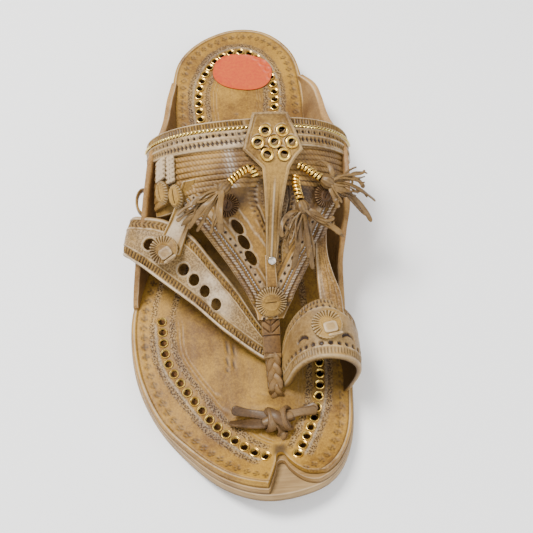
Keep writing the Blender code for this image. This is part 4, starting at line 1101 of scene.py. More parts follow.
class Sole:
    """Outsole, midsole, heel stack and footbed."""

    def __init__(self, form: SoleForm) -> None:
        """Keeps the form and the outline that the stamped borders follow."""
        self.form = form
        loop = form.outline(2400)
        self.border = np.vstack([loop, loop[:1]])

    def loop(self, layer: Layer) -> Array:
        """The layer's edge in the flat pattern: the outline set in, with the notch let into the toe.

        The outline's points inside the notch's two arms are left out and the notch's curve takes their place.
        """
        loop = self.form.inset(self.form.outline(2400), layer.inset)
        if layer.notch_shift is None:
            return even(np.vstack([loop, loop[:1]]), layer.samples + 1)[:-1]
        notch = self.form.size(curve_through(self.form.notch_rows, 300))
        notch[:, 1] -= layer.notch_shift
        gap = np.linalg.norm(loop[:, None, :] - notch[None, ::2, :], axis=2)
        near = gap.min(1)
        toe = np.abs(loop[:, 1] - loop[:, 1].min()) < 30 * MM
        left = int(np.where(toe & (loop[:, 0] < notch[120, 0]), near, 1.0).argmin())
        right = int(np.where(toe & (loop[:, 0] > notch[120, 0]), near, 1.0).argmin())
        first, last = 2 * int(gap[left].argmin()), 2 * int(gap[right].argmin())
        whole = np.vstack([loop[:left], notch[first : last + 1], loop[right + 1 :], loop[:1]])
        return even(whole, layer.samples + 1)[:-1]

    def spine(self, loop: Array) -> Array:
        """Point of the middle line that each point of the loop is joined to.

        Points as far before the toe as after it share one, so that the two sides meet on the line.
        """
        count = len(loop)
        pair = loop[(-np.arange(count)) % count]
        y = np.clip((loop[:, 1] + pair[:, 1]) / 2, -50 * MM, loop[:, 1].max() - 36 * MM)
        left, right = self.form.edges(y)
        return np.stack([(left + right) / 2, y], axis=1)

    def shell(
        self, layer: Layer, relief: Optional[Callable[[Array], Relief]] = None, wave: float = 0.12 * MM
    ) -> Shell:
        """Closed shell of a layer.

        Args:
            layer: what it is cut to.
            relief: gives the Relief at flat points, or None for a plain top.
            wave: how far the hand-cut edge strays.

        Returns:
            The shell: rings from the edge to the middle line on top, a wall and a plain underside.
        """
        loop = self.loop(layer)
        spine = self.spine(loop)
        run = lengths(np.vstack([loop, loop[:1]]))[:-1]
        turn = 2 * math.pi * run / (run[-1] + run[1])
        stray = wave * noise(11, 9 * np.cos(turn), 9 * np.sin(turn))
        reach = np.linalg.norm(spine - loop, axis=1)
        share = np.array(layer.rings)[:, None] * MM / np.maximum(reach, 1.02 * MM * layer.rings[-1])[None]
        inward = np.linspace(0, 1, 17 if relief else 5)[1:, None]
        share = np.vstack([share, share[-1:] + (1 - share[-1:]) * inward])
        flat = loop[None] + (spine - loop)[None] * share[..., None]
        marks = relief(flat) if relief else Relief.flat(flat.shape[:2])
        if not relief:
            marks.round_edge(share * reach, 0.4 * MM, 0.4)
        thick = layer.high - layer.low
        across, along = flat[..., 0], flat[..., 1]
        y, z = self.form.profile(along, layer.high + marks.height)
        top = np.stack([across, y, z], axis=-1)
        out = -unit(spine - loop)
        walls = []
        for level in (0.88, 0.66, 0.4, 0.14, 0.0):
            bulge = (0.12 * MM + stray) * math.sin(math.pi * min(level + 0.1, 1.0))
            edge = loop + out * bulge[:, None]
            y, z = self.form.profile(edge[:, 1], layer.low + level * thick)
            walls.append(np.stack([edge[:, 0], y, z], axis=-1))
        y, z = self.form.profile(flat[[3, -1], :, 1], layer.low)
        under = np.stack([flat[[3, -1], :, 0], y, z], axis=-1)
        rings = np.concatenate([top[::-1], np.array(walls), under])
        masks = {}
        for name, values in marks.masks().items():
            wall = np.zeros((len(walls) + 2, len(loop)))
            masks[name] = np.concatenate([values[::-1], wall]).reshape(-1)
        pit = masks[Mask.PIT.value].reshape(len(rings), len(loop))
        pit[len(top)] = 0.15
        pit[len(top) + 3 :] = 0.5
        return closed_rings(rings, masks)

    def build(self) -> None:
        """Makes the layers and the heel stack."""
        form = self.form
        low = form.outsole + form.gap
        outsole = Layer(0.0, form.outsole, 0.0)
        midsole = Layer(low, low + form.midsole, 0.4 * MM, form.notch_step)
        self.shell(outsole).piece("outsole_stack", OUTSOLE, "outsole")
        self.shell(midsole).piece("midsole_layer", MIDSOLE, "midsole")
        self.heel().piece("heel_stack", HEEL, "heel_lift")

    def heel(self, rings: int = 12) -> Shell:
        """Stacked heel: the outline behind a straight breast, with its layers stepped by a hair."""
        breast = self.form.heel_breast * self.form.length
        loop = self.form.inset(self.form.outline(1200), 0.6 * MM)
        curve = loop[loop[:, 1] > breast]
        order = np.argsort(np.arctan2(curve[:, 1] - breast - 30 * MM, curve[:, 0] - 13 * MM) % (2 * math.pi))
        curve = curve[np.roll(order, -int(np.argmin(curve[order][:, 1] + (curve[order][:, 0] < 0))))]
        edge = even(np.vstack([curve, curve[:1]]), 501)[:-1]
        middle = np.array([(edge[:, 0].min() + edge[:, 0].max()) / 2, (breast + edge[:, 1].max()) / 2])
        top = self.form.heel_lift - self.form.gap
        rows, pit = [], []
        for k in range(rings + 1):
            level = k / rings
            layer = abs(((top * level) / (2.6 * MM) + 0.5) % 1.0 - 0.5) * 2
            inset = 0.1 * MM * (1 - layer) + (0.5 * MM if k == 0 else 0.0)
            ring = edge + unit(middle - edge) * inset
            rows.append(np.column_stack([ring, np.full(len(ring), top * level)]))
            pit.append(0.5 if k == 0 else 0.0)
        rows = np.array(rows)
        ends = []
        for z in (0.0, top):
            ends.append(np.column_stack([np.repeat(middle[None], len(edge), 0), np.full(len(edge), z)]))
        rings_all = np.concatenate([ends[0][None], rows, ends[1][None]])
        shade = np.repeat([0.5, *pit, 0.0], len(edge))
        return closed_rings(rings_all, {Mask.PIT.value: shade})


def closed_rings(rings: Array, masks: dict[str, Array]) -> Shell:
    """Closed shell from rings of points whose first and last ring fold flat onto a line or a point.

    Points of those two rings that lie in one place become one point, and a face that loses a corner by it
    becomes a triangle.
    """
    rows, count = rings.shape[:2]
    points = rings.reshape(-1, 3)
    quads = ring_quads(np.arange(rows * count).reshape(rows, count))
    _, first, same = np.unique(np.round(points, 7), axis=0, return_index=True, return_inverse=True)
    quads = same.reshape(-1)[quads]
    points = points[first]
    masks = {name: np.asarray(values)[first] for name, values in masks.items()}
    twin = np.sort(quads, axis=1)
    whole = (np.diff(twin, axis=1) > 0).all(1)
    caps = []
    for quad in quads[~whole]:
        corners = list(dict.fromkeys(int(i) for i in quad))
        if len(corners) == 3:
            caps.append(tuple(corners))
    return Shell(points, quads[whole], masks, caps).facing_out()


class Footbed:
    """The insole's tooled top, its eyelets and the plain label at the heel."""

    runs: tuple[Table, ...] = (
        ((-0.351, 0.031), (-0.344, -0.022), (-0.315, -0.062), (-0.217, -0.124), (-0.116, -0.178),
         (0.000, -0.225), (0.070, -0.243)),
        ((0.345, -0.010), (0.345, -0.070), (0.335, -0.110), (0.315, -0.145), (0.280, -0.183),
         (0.236, -0.220), (0.205, -0.243)),
        ((-0.105, 0.400), (-0.115, 0.460), (-0.120, 0.505), (-0.105, 0.550), (-0.060, 0.592),
         (0.010, 0.625), (0.100, 0.638), (0.190, 0.625), (0.252, 0.590), (0.280, 0.545), (0.280, 0.500),
         (0.262, 0.450), (0.245, 0.400)),
    )
    eyelet_pitch: float = 5.5 * MM
    rim_radius: float = 2.08 * MM
    rim_wire: float = 0.27 * MM
    segments: int = 18
    """Points round an eyelet."""

    def __init__(self, sole: Sole) -> None:
        """Keeps the sole and the lines that the eyelets follow."""
        self.sole = sole
        self.lines = [sole.form.size(curve_through(run, 200)) for run in self.runs]

    def eyelets(self) -> Array:
        """Centres of the eyelets in the flat pattern, an even pitch apart on each run."""
        return np.vstack(
            [even(line, round(lengths(line)[-1] / self.eyelet_pitch) + 1) for line in self.lines]
        )

    def relief(self, flat: Array) -> Relief:
        """Stamped borders that follow the sole's edge, the rows beside the eyelets and the grain's folds."""
        s, d = edge_places(flat, self.sole.border)
        marks = Relief.flat(d.shape)
        x, y = flat[..., 0], flat[..., 1]
        wander = 0.25 * MM * noise(5, s / (40 * MM), d * 0)
        d = d + wander
        marks.height = 0.12 * MM * noise(3, x / (9 * MM), y / (14 * MM))
        marks.lines(d, ((3.1, 0.28, 0.18, -0.35, 0.55), (2.3, 0.35, 0.18, 0.12, 0.5)))
        marks.groove(stamps(s, d - 6.9 * MM, 5.4 * MM, 1.9 * MM), 0.35 * MM, 0.72)
        for line in self.lines:
            self.beside(marks, flat, line, ease((32 * MM - d + wander) / (2 * MM)))
        beyond = stroke(np.abs(d - 15.8 * MM) - 4.6 * MM, 1.5 * MM, 1.2 * MM)
        marks.punch(beyond * stroke(y - 22 * MM, 31 * MM, 3 * MM))
        self.wear_and_painted_shading(marks, x, y)
        marks.groove(self.folds(x, y), 0.3 * MM, 0.5)
        for px, py in ((7.5, 126.0), (6.0, 118.3)):
            marks.groove(stroke(np.hypot(x - px * MM, y - py * MM), 1.0 * MM, 0.9 * MM), 0.4 * MM, 1.0)
        marks.groove(self.double_line(x, y), 0.45 * MM, 0.95)
        box = np.maximum(np.abs(x - 27 * MM), np.abs(y + 28.5 * MM)) - 2 * MM
        marks.groove(stroke(box, 0.2 * MM), 0.2 * MM, 0.4)
        marks.round_edge(d - wander, 0.5 * MM, 0.35)
        notch = self.sole.form.size(curve_through(self.sole.form.notch_rows, 120))
        _, cut = edge_places(flat, notch)
        marks.wear_and_painted_shading(0.2 * stroke(cut, 0.7 * MM, 1.0 * MM))
        return marks

    def wear_and_painted_shading(self, marks: Relief, x: Array, y: Array) -> None:
        """Swelling and wrinkles before the toe post's slot, and painted shade and shadow on the footbed."""
        swell = np.exp(-(((x - 12 * MM) / (11 * MM)) ** 2) - ((y + 39 * MM) / (3.6 * MM)) ** 2)
        marks.raise_by(1.3 * MM * swell)
        for place, span, bow in ((-33.5, 13, 0.5), (-31.8, 9, -0.4), (-42.8, 10, 0.3)):
            bend = y - place * MM - bow * MM * np.sin(x / (4 * MM))
            wrinkle = stroke(bend, 0.12 * MM, 0.5 * MM) * stroke(x - 10 * MM, span * MM, 8 * MM)
            marks.groove(wrinkle, 0.25 * MM, 0.5)
        # Painted shadow of the toe ring on the footbed under it.
        marks.darken(0.62 * spot(x, y, (33, -24), (15, 17)))
        mottle = 0.85 + 0.3 * noise(91, x / (6 * MM), y / (6 * MM))
        # Painted shadow of the knot, painted shade deep in the notch, along the swelling and under the upper,
        # and a darker middle of the forefoot with two patches beside it.
        for px, py, wide, deep, dark in (
            (8, -53, 16, 5, 0.3), (13.9, -62.6, 3.3, 3.4, 1.0), (6, -4, 27, 34, 0.24), (20, -22, 9, 14, 0.2),
            (-24, -4, 10, 12, 0.12), (14, -35, 7, 2.5, 0.4), (2, 46, 40, 38, 0.5),
        ):
            marks.darken(dark * spot(x, y, (px, py), (wide, deep)) * mottle)

    def beside(self, marks: Relief, flat: Array, line: Array, within: Array) -> None:
        """Stipple on both sides of a row of eyelets, pale grooves inside it and a dish under each eyelet."""
        s, away = edge_places(flat, line)
        at_heel = line[:, 1].mean() > 0.08
        inward = self.sole.form.size((0.11, 0.40 if at_heel else -0.03))
        near = ((flat[..., None, :] - line[::8]) ** 2).sum(-1).argmin(-1)
        offset = flat - line[::8][near]
        side = np.sign(np.sum(offset * (inward - line[::8][near]), axis=-1))
        gap = side * away
        total = lengths(line)[-1]
        along = stroke(s - total / 2, total / 2 - 1 * MM, 3 * MM)
        ragged = gap + 0.5 * MM * noise(83, s / (2 * MM), away / (2 * MM))
        band = stroke(ragged + 4.3 * MM, 1.9 * MM, 1.2 * MM) + stroke(ragged - 4.9 * MM, 1.5 * MM, 1.0 * MM)
        marks.punch(band * along * within)
        marks.darken(0.26 * band * along * within)
        marks.darken(0.4 * stroke(ragged + 5.6 * MM, 0.5 * MM, 0.7 * MM) * along * within)
        marks.darken(0.4 * stroke(ragged - 5.7 * MM, 0.4 * MM, 0.7 * MM) * along * within)
        marks.wear_and_painted_shading(0.4 * stroke(gap + 3.1 * MM, 0.5 * MM, 0.8 * MM) * along)
        scored = ((7.4, 0.22, 0.18, -0.14, 0.2), (9.2, 0.22, 0.18, -0.14, 0.2))
        raised = ((7.95, 0.2, 0.18, 0.03, 0.12), (9.75, 0.2, 0.18, 0.03, 0.12))
        marks.lines(gap, scored + raised, along * within)
        pitch = total / round(total / self.eyelet_pitch)
        reach = np.hypot(repeat(s, pitch), away)
        dish = stroke(reach, 2.7 * MM, 0.9 * MM) * stroke(s - total / 2, total / 2 + 2 * MM)
        marks.groove(dish, 0.25 * MM, 0.3)
        hole = stroke(reach, 1.35 * MM, 0.2 * MM) * stroke(s - total / 2, total / 2 + 1 * MM)
        marks.raise_by(-1.6 * MM * hole)
        # Painted shade in each eyelet's hole.
        marks.darken(hole)

    def folds(self, x: Array, y: Array) -> Array:
        """Fine wrinkles of the bent leather: a few bowed lines across the ball and along the heel."""
        lines = np.zeros_like(x)
        for place, bow, span in ((-20, 0.004, 11), (-6, -0.006, 9), (-31, 0.005, 12), (4, 0.003, 8)):
            bend = y - place * MM - bow * np.sin(x / (14 * MM))
            fold = stroke(bend, 0.12 * MM, 0.5 * MM) * stroke(x + 2 * MM, span * MM, 9 * MM)
            lines = np.maximum(lines, 0.5 * fold)
        for place, phase in ((-1, 0.3), (6, 1.7), (15, 2.9), (21, 0.9), (27, 4.1)):
            bend = x - place * MM - 0.7 * MM * np.sin(y / (9 * MM) + phase)
            heel = stroke(y - 128 * MM, 24 * MM, 16 * MM)
            lines = np.maximum(lines, 0.55 * stroke(bend, 0.1 * MM, 0.45 * MM) * heel)
        return lines

    def double_line(self, x: Array, y: Array) -> Array:
        """Two short scored lines under the lateral strap."""
        lean = x + 5.0 * MM - 0.05 * (y + 9 * MM)
        return stroke(np.abs(lean) - 1.5 * MM, 0.35 * MM, 0.6 * MM) * stroke(y + 7 * MM, 13 * MM)

    def build(self) -> None:
        """Makes the insole, its eyelets and the label."""
        form = self.sole.form
        low = form.outsole + form.midsole + 2 * form.gap
        fine = tuple(np.concatenate([np.linspace(0, 33, 60), [36.0]]).tolist())
        layer = Layer(low, low + form.insole, form.insole_inset, 0.0, 900, fine)
        self.sole.shell(layer, self.relief).piece("footbed", FOOTBED, "insole", sharp=60)
        self.rims().piece("footbed_eyelets", BRASS)
        self.label().piece("heel_label", LABEL)

    def rims(self) -> Shell:
        """Rolled brass rims of all the footbed's eyelets, and throats darkened with painted shade."""
        turn = np.linspace(0, 2 * math.pi, 8, endpoint=False)
        rim = (self.rim_radius + self.rim_wire * np.cos(turn), 0.12 * MM + self.rim_wire * np.sin(turn))
        profile = np.stack(rim, axis=1)
        throat = MM * np.array((
            (2.0, 0.1), (1.55, -0.1), (1.45, -0.9), (0.1, -0.95), (0.1, -1.2), (1.8, -1.1), (1.85, -0.3),
            (2.05, 0.0),
        ))
        shade = (0.35, 0.6, 1.0, 1.0, 1.0, 1.0, 0.7, 0.35)
        shells = []
        for x, along in self.eyelets():
            y, z = self.sole.form.profile(along, self.sole.form.footbed)
            y_low, z_low = self.sole.form.profile(along, self.sole.form.footbed - MM)
            normal = unit(np.array([0.0, float(y - y_low), float(z - z_low)]))
            centre = np.array([x, float(y), float(z)])
            shells.append(turned_shell(profile, self.segments, centre, normal))
            shells.append(turned_shell(throat, self.segments, centre, normal))
            shells[-1].masks = {Mask.PIT.value: np.repeat(shade, self.segments)}
        return Shell.joined(shells)

    def label(self, rings: int = 26, segments: int = 120) -> Shell:
        """Plain oval label on the heel: a superellipse that bulges over the eyelets and lifts at its edge."""
        centre, half, lean = np.array([13.0, 156.2]) * MM, np.array([16.6, 12.9]) * MM, math.radians(-14)
        turn = np.linspace(0, 2 * math.pi, segments, endpoint=False)
        c, s = superellipse(turn, 2.35)
        share = np.concatenate([np.sqrt(np.linspace(0, 1, rings)), [1.0], [0.0]])
        x, y = half[0] * c, half[1] * s
        cosine, sine = math.cos(lean), math.sin(lean)
        flat = np.stack([x * cosine - y * sine, x * sine + y * cosine], axis=1)
        flat = centre + flat[None] * share[:, None, None]
        bumps = np.zeros(flat.shape[:2])
        for place in self.eyelets():
            away = np.linalg.norm(flat - place, axis=-1)
            bumps = np.maximum(bumps, stroke(away - 1.9 * MM, 0.5 * MM, 0.8 * MM))
        lift = 0.42 * MM + 0.35 * MM * bumps + 0.25 * MM * share[:, None] ** 8
        lift[-2:] = 0.16 * MM
        y, z = self.sole.form.profile(flat[..., 1], self.sole.form.footbed + lift)
        rings_all = np.stack([flat[..., 0], y, z], axis=-1)
        return closed_rings(rings_all, {Mask.PIT.value: (0.35 * stroke(bumps - 0.5, 0.2, 0.3)).reshape(-1)})


def stamps(s: Array, d: Array, pitch: float, radius: float) -> Array:
    """Mask of small flower stamps, one each pitch on the line d = 0.

    Four petals, eased 0.6 + cos(4 angle), stand round a dot on a ring of 0.62 of the radius.
    """
    u = repeat(s, pitch)
    reach, angle = np.hypot(u, d), np.arctan2(d, u)
    ring = stroke(reach - 0.62 * radius, 0.3 * radius, 0.3 * MM)
    petals = ring * (0.25 + 0.75 * ease(0.6 + np.cos(4 * angle)))
    return np.maximum(petals, stroke(reach, 0.2 * radius, 0.25 * MM))


@dataclass
class Sheet:
    """Grid over a strap or wall, with stations along it and points across it."""

    grid: Array
    normals: Array
    thickness: float
    under_shade: float = 0.5
    holes: list[Hole] = field(default_factory=list)

    def __post_init__(self) -> None:
        """Works out the lengths along and across the sheet, and the distance from each of its four edges."""
        self.along = lengths(self.grid)
        self.near = lengths(self.grid.transpose(1, 0, 2)).T
        self.far = self.near[:, -1:] - self.near
        self.left = self.along[-1:] - self.along
        self.relief = Relief.flat(self.grid.shape[:2])

    def middle_along(self) -> Array:
        """Length along the middle of the sheet, the same for all points of a station."""
        line = self.along[:, self.along.shape[1] // 2]
        return np.repeat(line[:, None], self.along.shape[1], axis=1)

    def borders(self, radius: float, rub: float = 0.5, ends: bool = True) -> None:
        """Rounds the edges of the sheet and pales them, for rubbing and a painted highlight."""
        gap = np.minimum(self.near, self.far)
        if ends:
            gap = np.minimum(gap, np.minimum(self.along, self.left))
        self.relief.round_edge(gap, radius, rub)

    def hole(self, row: int, column: int, half_along: float, half_across: float, turn: float = 0.0) -> None:
        """Oval hole round a point of the grid, with a raised pale rim."""
        along, across = float(self.along[row, column]), float(self.near[row, column])
        hole = Hole(along, across, half_along, half_across, turn)
        self.holes.append(hole)
        _, _, reach = hole.reach(self.along, self.near)
        ring = (reach - 1.22) * half_across
        self.relief.ridge(stroke(ring, 0.12 * half_across, 0.5 * MM), 0.3 * MM, 0.5)

    def hole_at(self, x: float, y: float, half_along: float, half_across: float, turn: float = 0.0) -> None:
        """Oval hole at a place across and along the foot."""
        gap = np.hypot(self.grid[..., 0] - x, self.grid[..., 1] - y)
        row, column = np.unravel_index(int(gap.argmin()), gap.shape)
        self.hole(int(row), int(column), half_along, half_across, turn)

    def shell(self) -> Shell:
        """The closed sheet."""
        return sheet_shell(
            self.grid, self.normals, self.thickness, self.relief,
            self.under_shade, self.holes, self.along, self.near,
        )


def over_line(line: Array) -> Array:
    """Unit normals of a line that runs along Y, in its own upright plane and towards the top."""
    step = unit(np.gradient(line, axis=0))
    normal = np.stack([0 * step[:, 0], step[:, 2], -step[:, 1]], axis=1)
    return normal * np.where(normal[:, 2:] < 0, -1, 1)


class Upper:
    """Throat panel, ribs, instep band, ears, straps, toe ring and post."""

    ear_outer: Table = (
        (0.060, 0.000, 0.10), (0.118, 0.012, 0.38), (0.190, 0.044, 0.58), (0.245, 0.062, 0.66),
        (0.305, 0.066, 0.66), (0.390, 0.044, 0.40), (0.470, 0.028, 0.22), (0.555, 0.006, 0.10),
    )
    ear_inner: Table = (
        (0.010, 0.000, 0.10), (0.090, 0.006, 0.36), (0.140, 0.044, 0.54), (0.190, 0.090, 0.66),
        (0.290, 0.130, 0.68), (0.390, 0.094, 0.42), (0.470, 0.078, 0.24), (0.520, 0.060, 0.16),
        (0.555, 0.010, 0.10),
    )
    panel_rows: Table = (
        (-0.004, 0.000, 0.085, 0.200), (0.012, 0.000, 0.078, 0.222), (0.037, 0.000, 0.048, 0.258),
        (0.075, 0.000, -0.012, 0.322), (0.112, 0.000, -0.080, 0.390), (0.148, 0.002, -0.150, 0.440),
        (0.176, 0.006, -0.215, 0.480), (0.200, 0.012, -0.240, 0.490),
    )
    cross_rows: Table = (
        (0.140, -0.066, 0.03, 0.150, -0.012, 0.08), (0.075, -0.058, 0.07, 0.085, 0.000, 0.13),
        (-0.064, -0.017, 0.20, -0.010, 0.060, 0.32), (-0.180, 0.028, 0.27, -0.115, 0.115, 0.45),
        (-0.286, 0.064, 0.32, -0.190, 0.152, 0.52), (-0.380, 0.096, 0.35, -0.295, 0.182, 0.50),
        (-0.440, 0.116, 0.37, -0.398, 0.194, 0.47), (-0.478, 0.134, 0.33, -0.432, 0.200, 0.41),
        (-0.484, 0.142, 0.24, -0.440, 0.204, 0.28), (-0.462, 0.146, 0.14, -0.412, 0.204, 0.16),
    )
    ring_rows: Table = (
        (0.199, -0.112, 0.02, 0.200, -0.050, 0.10), (0.212, -0.113, 0.16, 0.212, -0.036, 0.18),
        (0.242, -0.107, 0.35, 0.238, -0.020, 0.34), (0.294, -0.104, 0.50, 0.298, -0.005, 0.50),
        (0.360, -0.106, 0.57, 0.365, 0.000, 0.56), (0.430, -0.108, 0.52, 0.431, -0.010, 0.51),
        (0.476, -0.111, 0.39, 0.478, -0.026, 0.40), (0.482, -0.116, 0.26, 0.486, -0.040, 0.27),
        (0.456, -0.124, 0.11, 0.462, -0.055, 0.12), (0.434, -0.127, 0.00, 0.436, -0.062, 0.00),
    )
    ring_strap_rows: Table = (
        (0.400, -0.030, 0.520, 0.052), (0.400, 0.012, 0.545, 0.048), (0.390, 0.050, 0.560, 0.036),
        (0.386, 0.090, 0.575, 0.027), (0.396, 0.130, 0.610, 0.025), (0.415, 0.165, 0.680, 0.024),
    )
    tie_rows: Table = (
        (-0.290, 0.106, 0.510, 0.055), (-0.272, 0.132, 0.520, 0.060), (-0.245, 0.155, 0.555, 0.057),
        (-0.215, 0.175, 0.640, 0.050), (-0.185, 0.196, 0.760, 0.042), (-0.160, 0.216, 0.860, 0.036),
    )
    side_rows: Table = (
        (-0.326, 0.194, 0.440, -0.328, 0.222, 0.470), (-0.300, 0.190, 0.490, -0.300, 0.218, 0.530),
        (-0.230, 0.184, 0.610, -0.225, 0.210, 0.640),
    )
    instep_span: tuple[float, float] = (-0.346, 0.560)
    cords: int = 8
    cord_pitch: float = 1.7 * MM
    band_thickness: float = 3.3 * MM
    thread_place: float = 4.6 * MM
    tucked: int = 13
    """Columns of the ribs' grid that are cut off where their ends lie within the inner ear."""
    post_rows: Table = (
        (0.145, 0.028, 0.285), (0.141, 0.000, 0.250), (0.138, -0.040, 0.170), (0.138, -0.085, 0.090),
        (0.139, -0.112, 0.050),
    )
    panel_windows: Table = ((0.024, 0.136), (0.048, 0.114), (0.076, 0.091))
    strap_windows: Table = ((0.270, 0.35), (0.315, 0.38), (0.365, 0.40), (0.420, 0.42), (0.595, 0.48))

    def __init__(self, form: SoleForm, last: LastForm) -> None:
        """Keeps the forms that the pieces lie on."""
        self.form = form
        self.last = last

    def build(self) -> None:
        """Makes every piece of the upper."""
        for name, finish, sheet in (
            ("throat_panel", PANEL, self.panel()), ("ribs", PANEL, self.ribs()),
            ("instep_band", STRAP, self.band()),
            ("lateral_strap", STRAP, self.cross_strap()), ("toe_ring", STRAP, self.toe_ring()),
            ("ring_strap", PANEL, self.ring_strap()), ("tie_strap", STRAP, self.tie_strap()),
            ("side_strap", STRAP, self.side_strap()), ("toe_post", PANEL, self.post()),
            ("ear_outer", EAR, self.ear(self.ear_outer, -1)), ("ear_inner", EAR, self.ear(self.ear_inner, 1)),
        ):
            sheet.shell().piece(name, finish, "upper", sharp=60)
            if name == "instep_band":
                self.gold_thread(sheet).piece("band_thread", GILT)

    def between(self, rows: Table, stations: int, columns: int, crown: float, thickness: float) -> Sheet:
        """Sheet between the front and rear edges of a strap's table, its middle raised by crown."""
        dense = curve_through(rows, stations)
        share = np.linspace(0, 1, columns)
        front = self.form.place(dense[:, 0], dense[:, 1], dense[:, 2], self.last.instep)
        rear = self.form.place(dense[:, 3], dense[:, 4], dense[:, 5], self.last.instep)
        grid = front[:, None] + (rear - front)[:, None] * share[None, :, None]
        normals = away_normals(grid, self.form.middle)
        grid = grid + normals * (crown * 4 * share * (1 - share))[None, :, None]
        return Sheet(grid, normals, thickness)

    def beside(self, rows: Table, tilt: float) -> Table:
        """Two-edge rows from a centre line and half width, the far edge higher by tilt."""
        return [(x - half, along, rise, x + half, along, rise + tilt) for x, along, rise, half in rows]

    def cross_strap(self) -> Sheet:
        """Lateral strap: bright front border, slits, a field paled by rubbing and painted sheen with windows,
        a zigzag row behind.
        """
        stations, columns = 280, 56
        sheet = self.between(self.cross_rows, stations, columns, 1.2 * MM, STRAP_THICKNESS)
        u, near, far, marks = sheet.middle_along(), sheet.near, sheet.far, sheet.relief
        sheet.borders(0.5 * MM, 0.5)
        marks.lines(near, (
            (0.9, 0.55, 0.4, 0.4, 0.9), (1.75, 0.18, 0.18, -0.25, 0.5), (5.0, 0.15, 0.18, -0.25, 0.35),
            (5.6, 0.3, 0.3, 0.3, 0.45),
        ))
        marks.cuts(u, near, ((3.2, 1.65, 0.38, 1.5, 0.6, 0.25, 0.9),))
        inner_field = stroke((near - far) / 2, 30 * MM) * ease((near - 5.6 * MM) / MM)
        inner_field = inner_field * ease((far - 6.2 * MM) / MM)
        marks.punch(0.6 * inner_field)
        # Pale all over the field from rubbing, with a painted sheen round 0.37 of its length.
        worn_and_highlight = inner_field * (0.08 + 0.9 * np.exp(-(((u / u.max() - 0.37) / 0.09) ** 2)))
        marks.wear_and_painted_shading(worn_and_highlight * (0.8 + 0.3 * noise(21, u / (5 * MM), near / (3 * MM))))
        rear_lines = ((6.1, 0.3, 0.3, 0.3, 0.6), (2.1, 0.15, 0.18, -0.25, 0.4), (1.3, 0.45, 0.4, 0.3, 0.6))
        marks.lines(far, rear_lines)
        marks.cuts(u, far, ((4.75, 1.9, 0.4, 0.7, 0.5, 0.8, 0.85), (3.1, 1.9, 0.4, 0.7, 0.5, -0.8, 0.85)))
        for share, across in self.strap_windows:
            sheet.hole(round(share * (stations - 1)), round(across * (columns - 1)), 2.5 * MM, 3.2 * MM, 0.55)
        return sheet

    def toe_ring(self) -> Sheet:
        """Big-toe ring: pale front rim, slits and dots, two crescents, and a punched rear edge."""
        stations, columns = 230, 56
        sheet = self.between(self.ring_rows, stations, columns, 0.8 * MM, STRAP_THICKNESS)
        # The underside is darker, painted shade that shows at the ring's rear edge.
        sheet.under_shade = 0.8
        u, near, far, marks = sheet.middle_along(), sheet.near, sheet.far, sheet.relief
        sheet.borders(0.5 * MM, 0.35, ends=False)
        front_lines = ((0.9, 0.5, 0.4, 0.12, 0.35), (1.75, 0.15, 0.18, -0.2, 0.4), (5.2, 0.2, 0.18, 0.2, 0.5))
        marks.lines(near, front_lines)
        marks.cuts(u, near, ((3.3, 1.35, 0.3, 1.3, 0.45, 0.0, 0.62),))
        marks.holes(u, near, ((6.6, 3.5, 1.0, 0.9),))
        marks.cuts(u, far, ((1.7, 1.5, 0.34, 0.8, 0.5, 0.0, 0.9),))
        marks.holes(u, far, ((3.7, 2.6, 0.62, 0.7),))
        marks.lines(far, ((4.7, 0.25, 0.18, 0.2, 0.4),))
        centre, low = u[round(0.45 * (stations - 1)), 0], 10.6 * MM
        for shift in (-11.0 * MM, 9.0 * MM):
            x, y = u - centre - shift, near - low
            bow = y - 1.0 * MM + (x / (3.2 * MM)) ** 2 * 1.6 * MM
            marks.groove(stroke(bow, 0.85 * MM) * stroke(x, 3.1 * MM, 0.6 * MM), 0.9 * MM, 1.0)
        marks.wear_and_painted_shading(0.22 * (0.5 + 0.5 * noise(31, u / (7 * MM), near / (4 * MM))))
        return sheet

    def ring_strap(self) -> Sheet:
        """Strap behind the ring: soft creases down its length and a pale border, from rubbing and painted
        highlight.
        """
        sheet = self.between(self.beside(self.ring_strap_rows, -0.02), 120, 26, 0.6 * MM, STRAP_THICKNESS)
        marks, share = sheet.relief, sheet.near / np.maximum(sheet.near + sheet.far, 1e-6)
        sheet.borders(0.6 * MM, 0.6)
        for place, depth in ((0.22, 0.35), (0.48, 0.25), (0.72, 0.45)):
            bend = (share - place - 0.05 * np.sin(sheet.along / (6 * MM) + 9 * place)) * 8 * MM
            marks.groove(stroke(bend, 0.2 * MM, 0.7 * MM), depth * MM, 0.35)
        marks.wear_and_painted_shading(0.2 * stroke(share - 0.12, 0.08, 0.1))
        marks.punch(0.35 * ease(sheet.left / (20 * MM)))
        return sheet

    def tie_strap(self) -> Sheet:
        """Strap from the lateral strap up to the ribs, paled along its middle by rubbing and painted sheen.
        """
        sheet = self.between(self.beside(self.tie_rows, 0.04), 130, 30, 0.5 * MM, STRAP_THICKNESS)
        marks = sheet.relief
        sheet.borders(0.5 * MM, 0.6)
        gap = np.minimum(sheet.near, sheet.far)
        marks.lines(gap, ((1.6, 0.18, 0.18, -0.3, 0.6),))
        worn_and_highlight = np.exp(-(((sheet.along - 17 * MM) / (8 * MM)) ** 2)) * ease((gap - 1.8 * MM) / MM)
        marks.wear_and_painted_shading(0.9 * worn_and_highlight)
        return sheet

    def side_strap(self) -> Sheet:
        """Short flat strap beside the outer ear."""
        sheet = self.between(self.side_rows, 60, 30, 0.0, STRAP_THICKNESS)
        sheet.borders(0.5 * MM, 0.6)
        return sheet

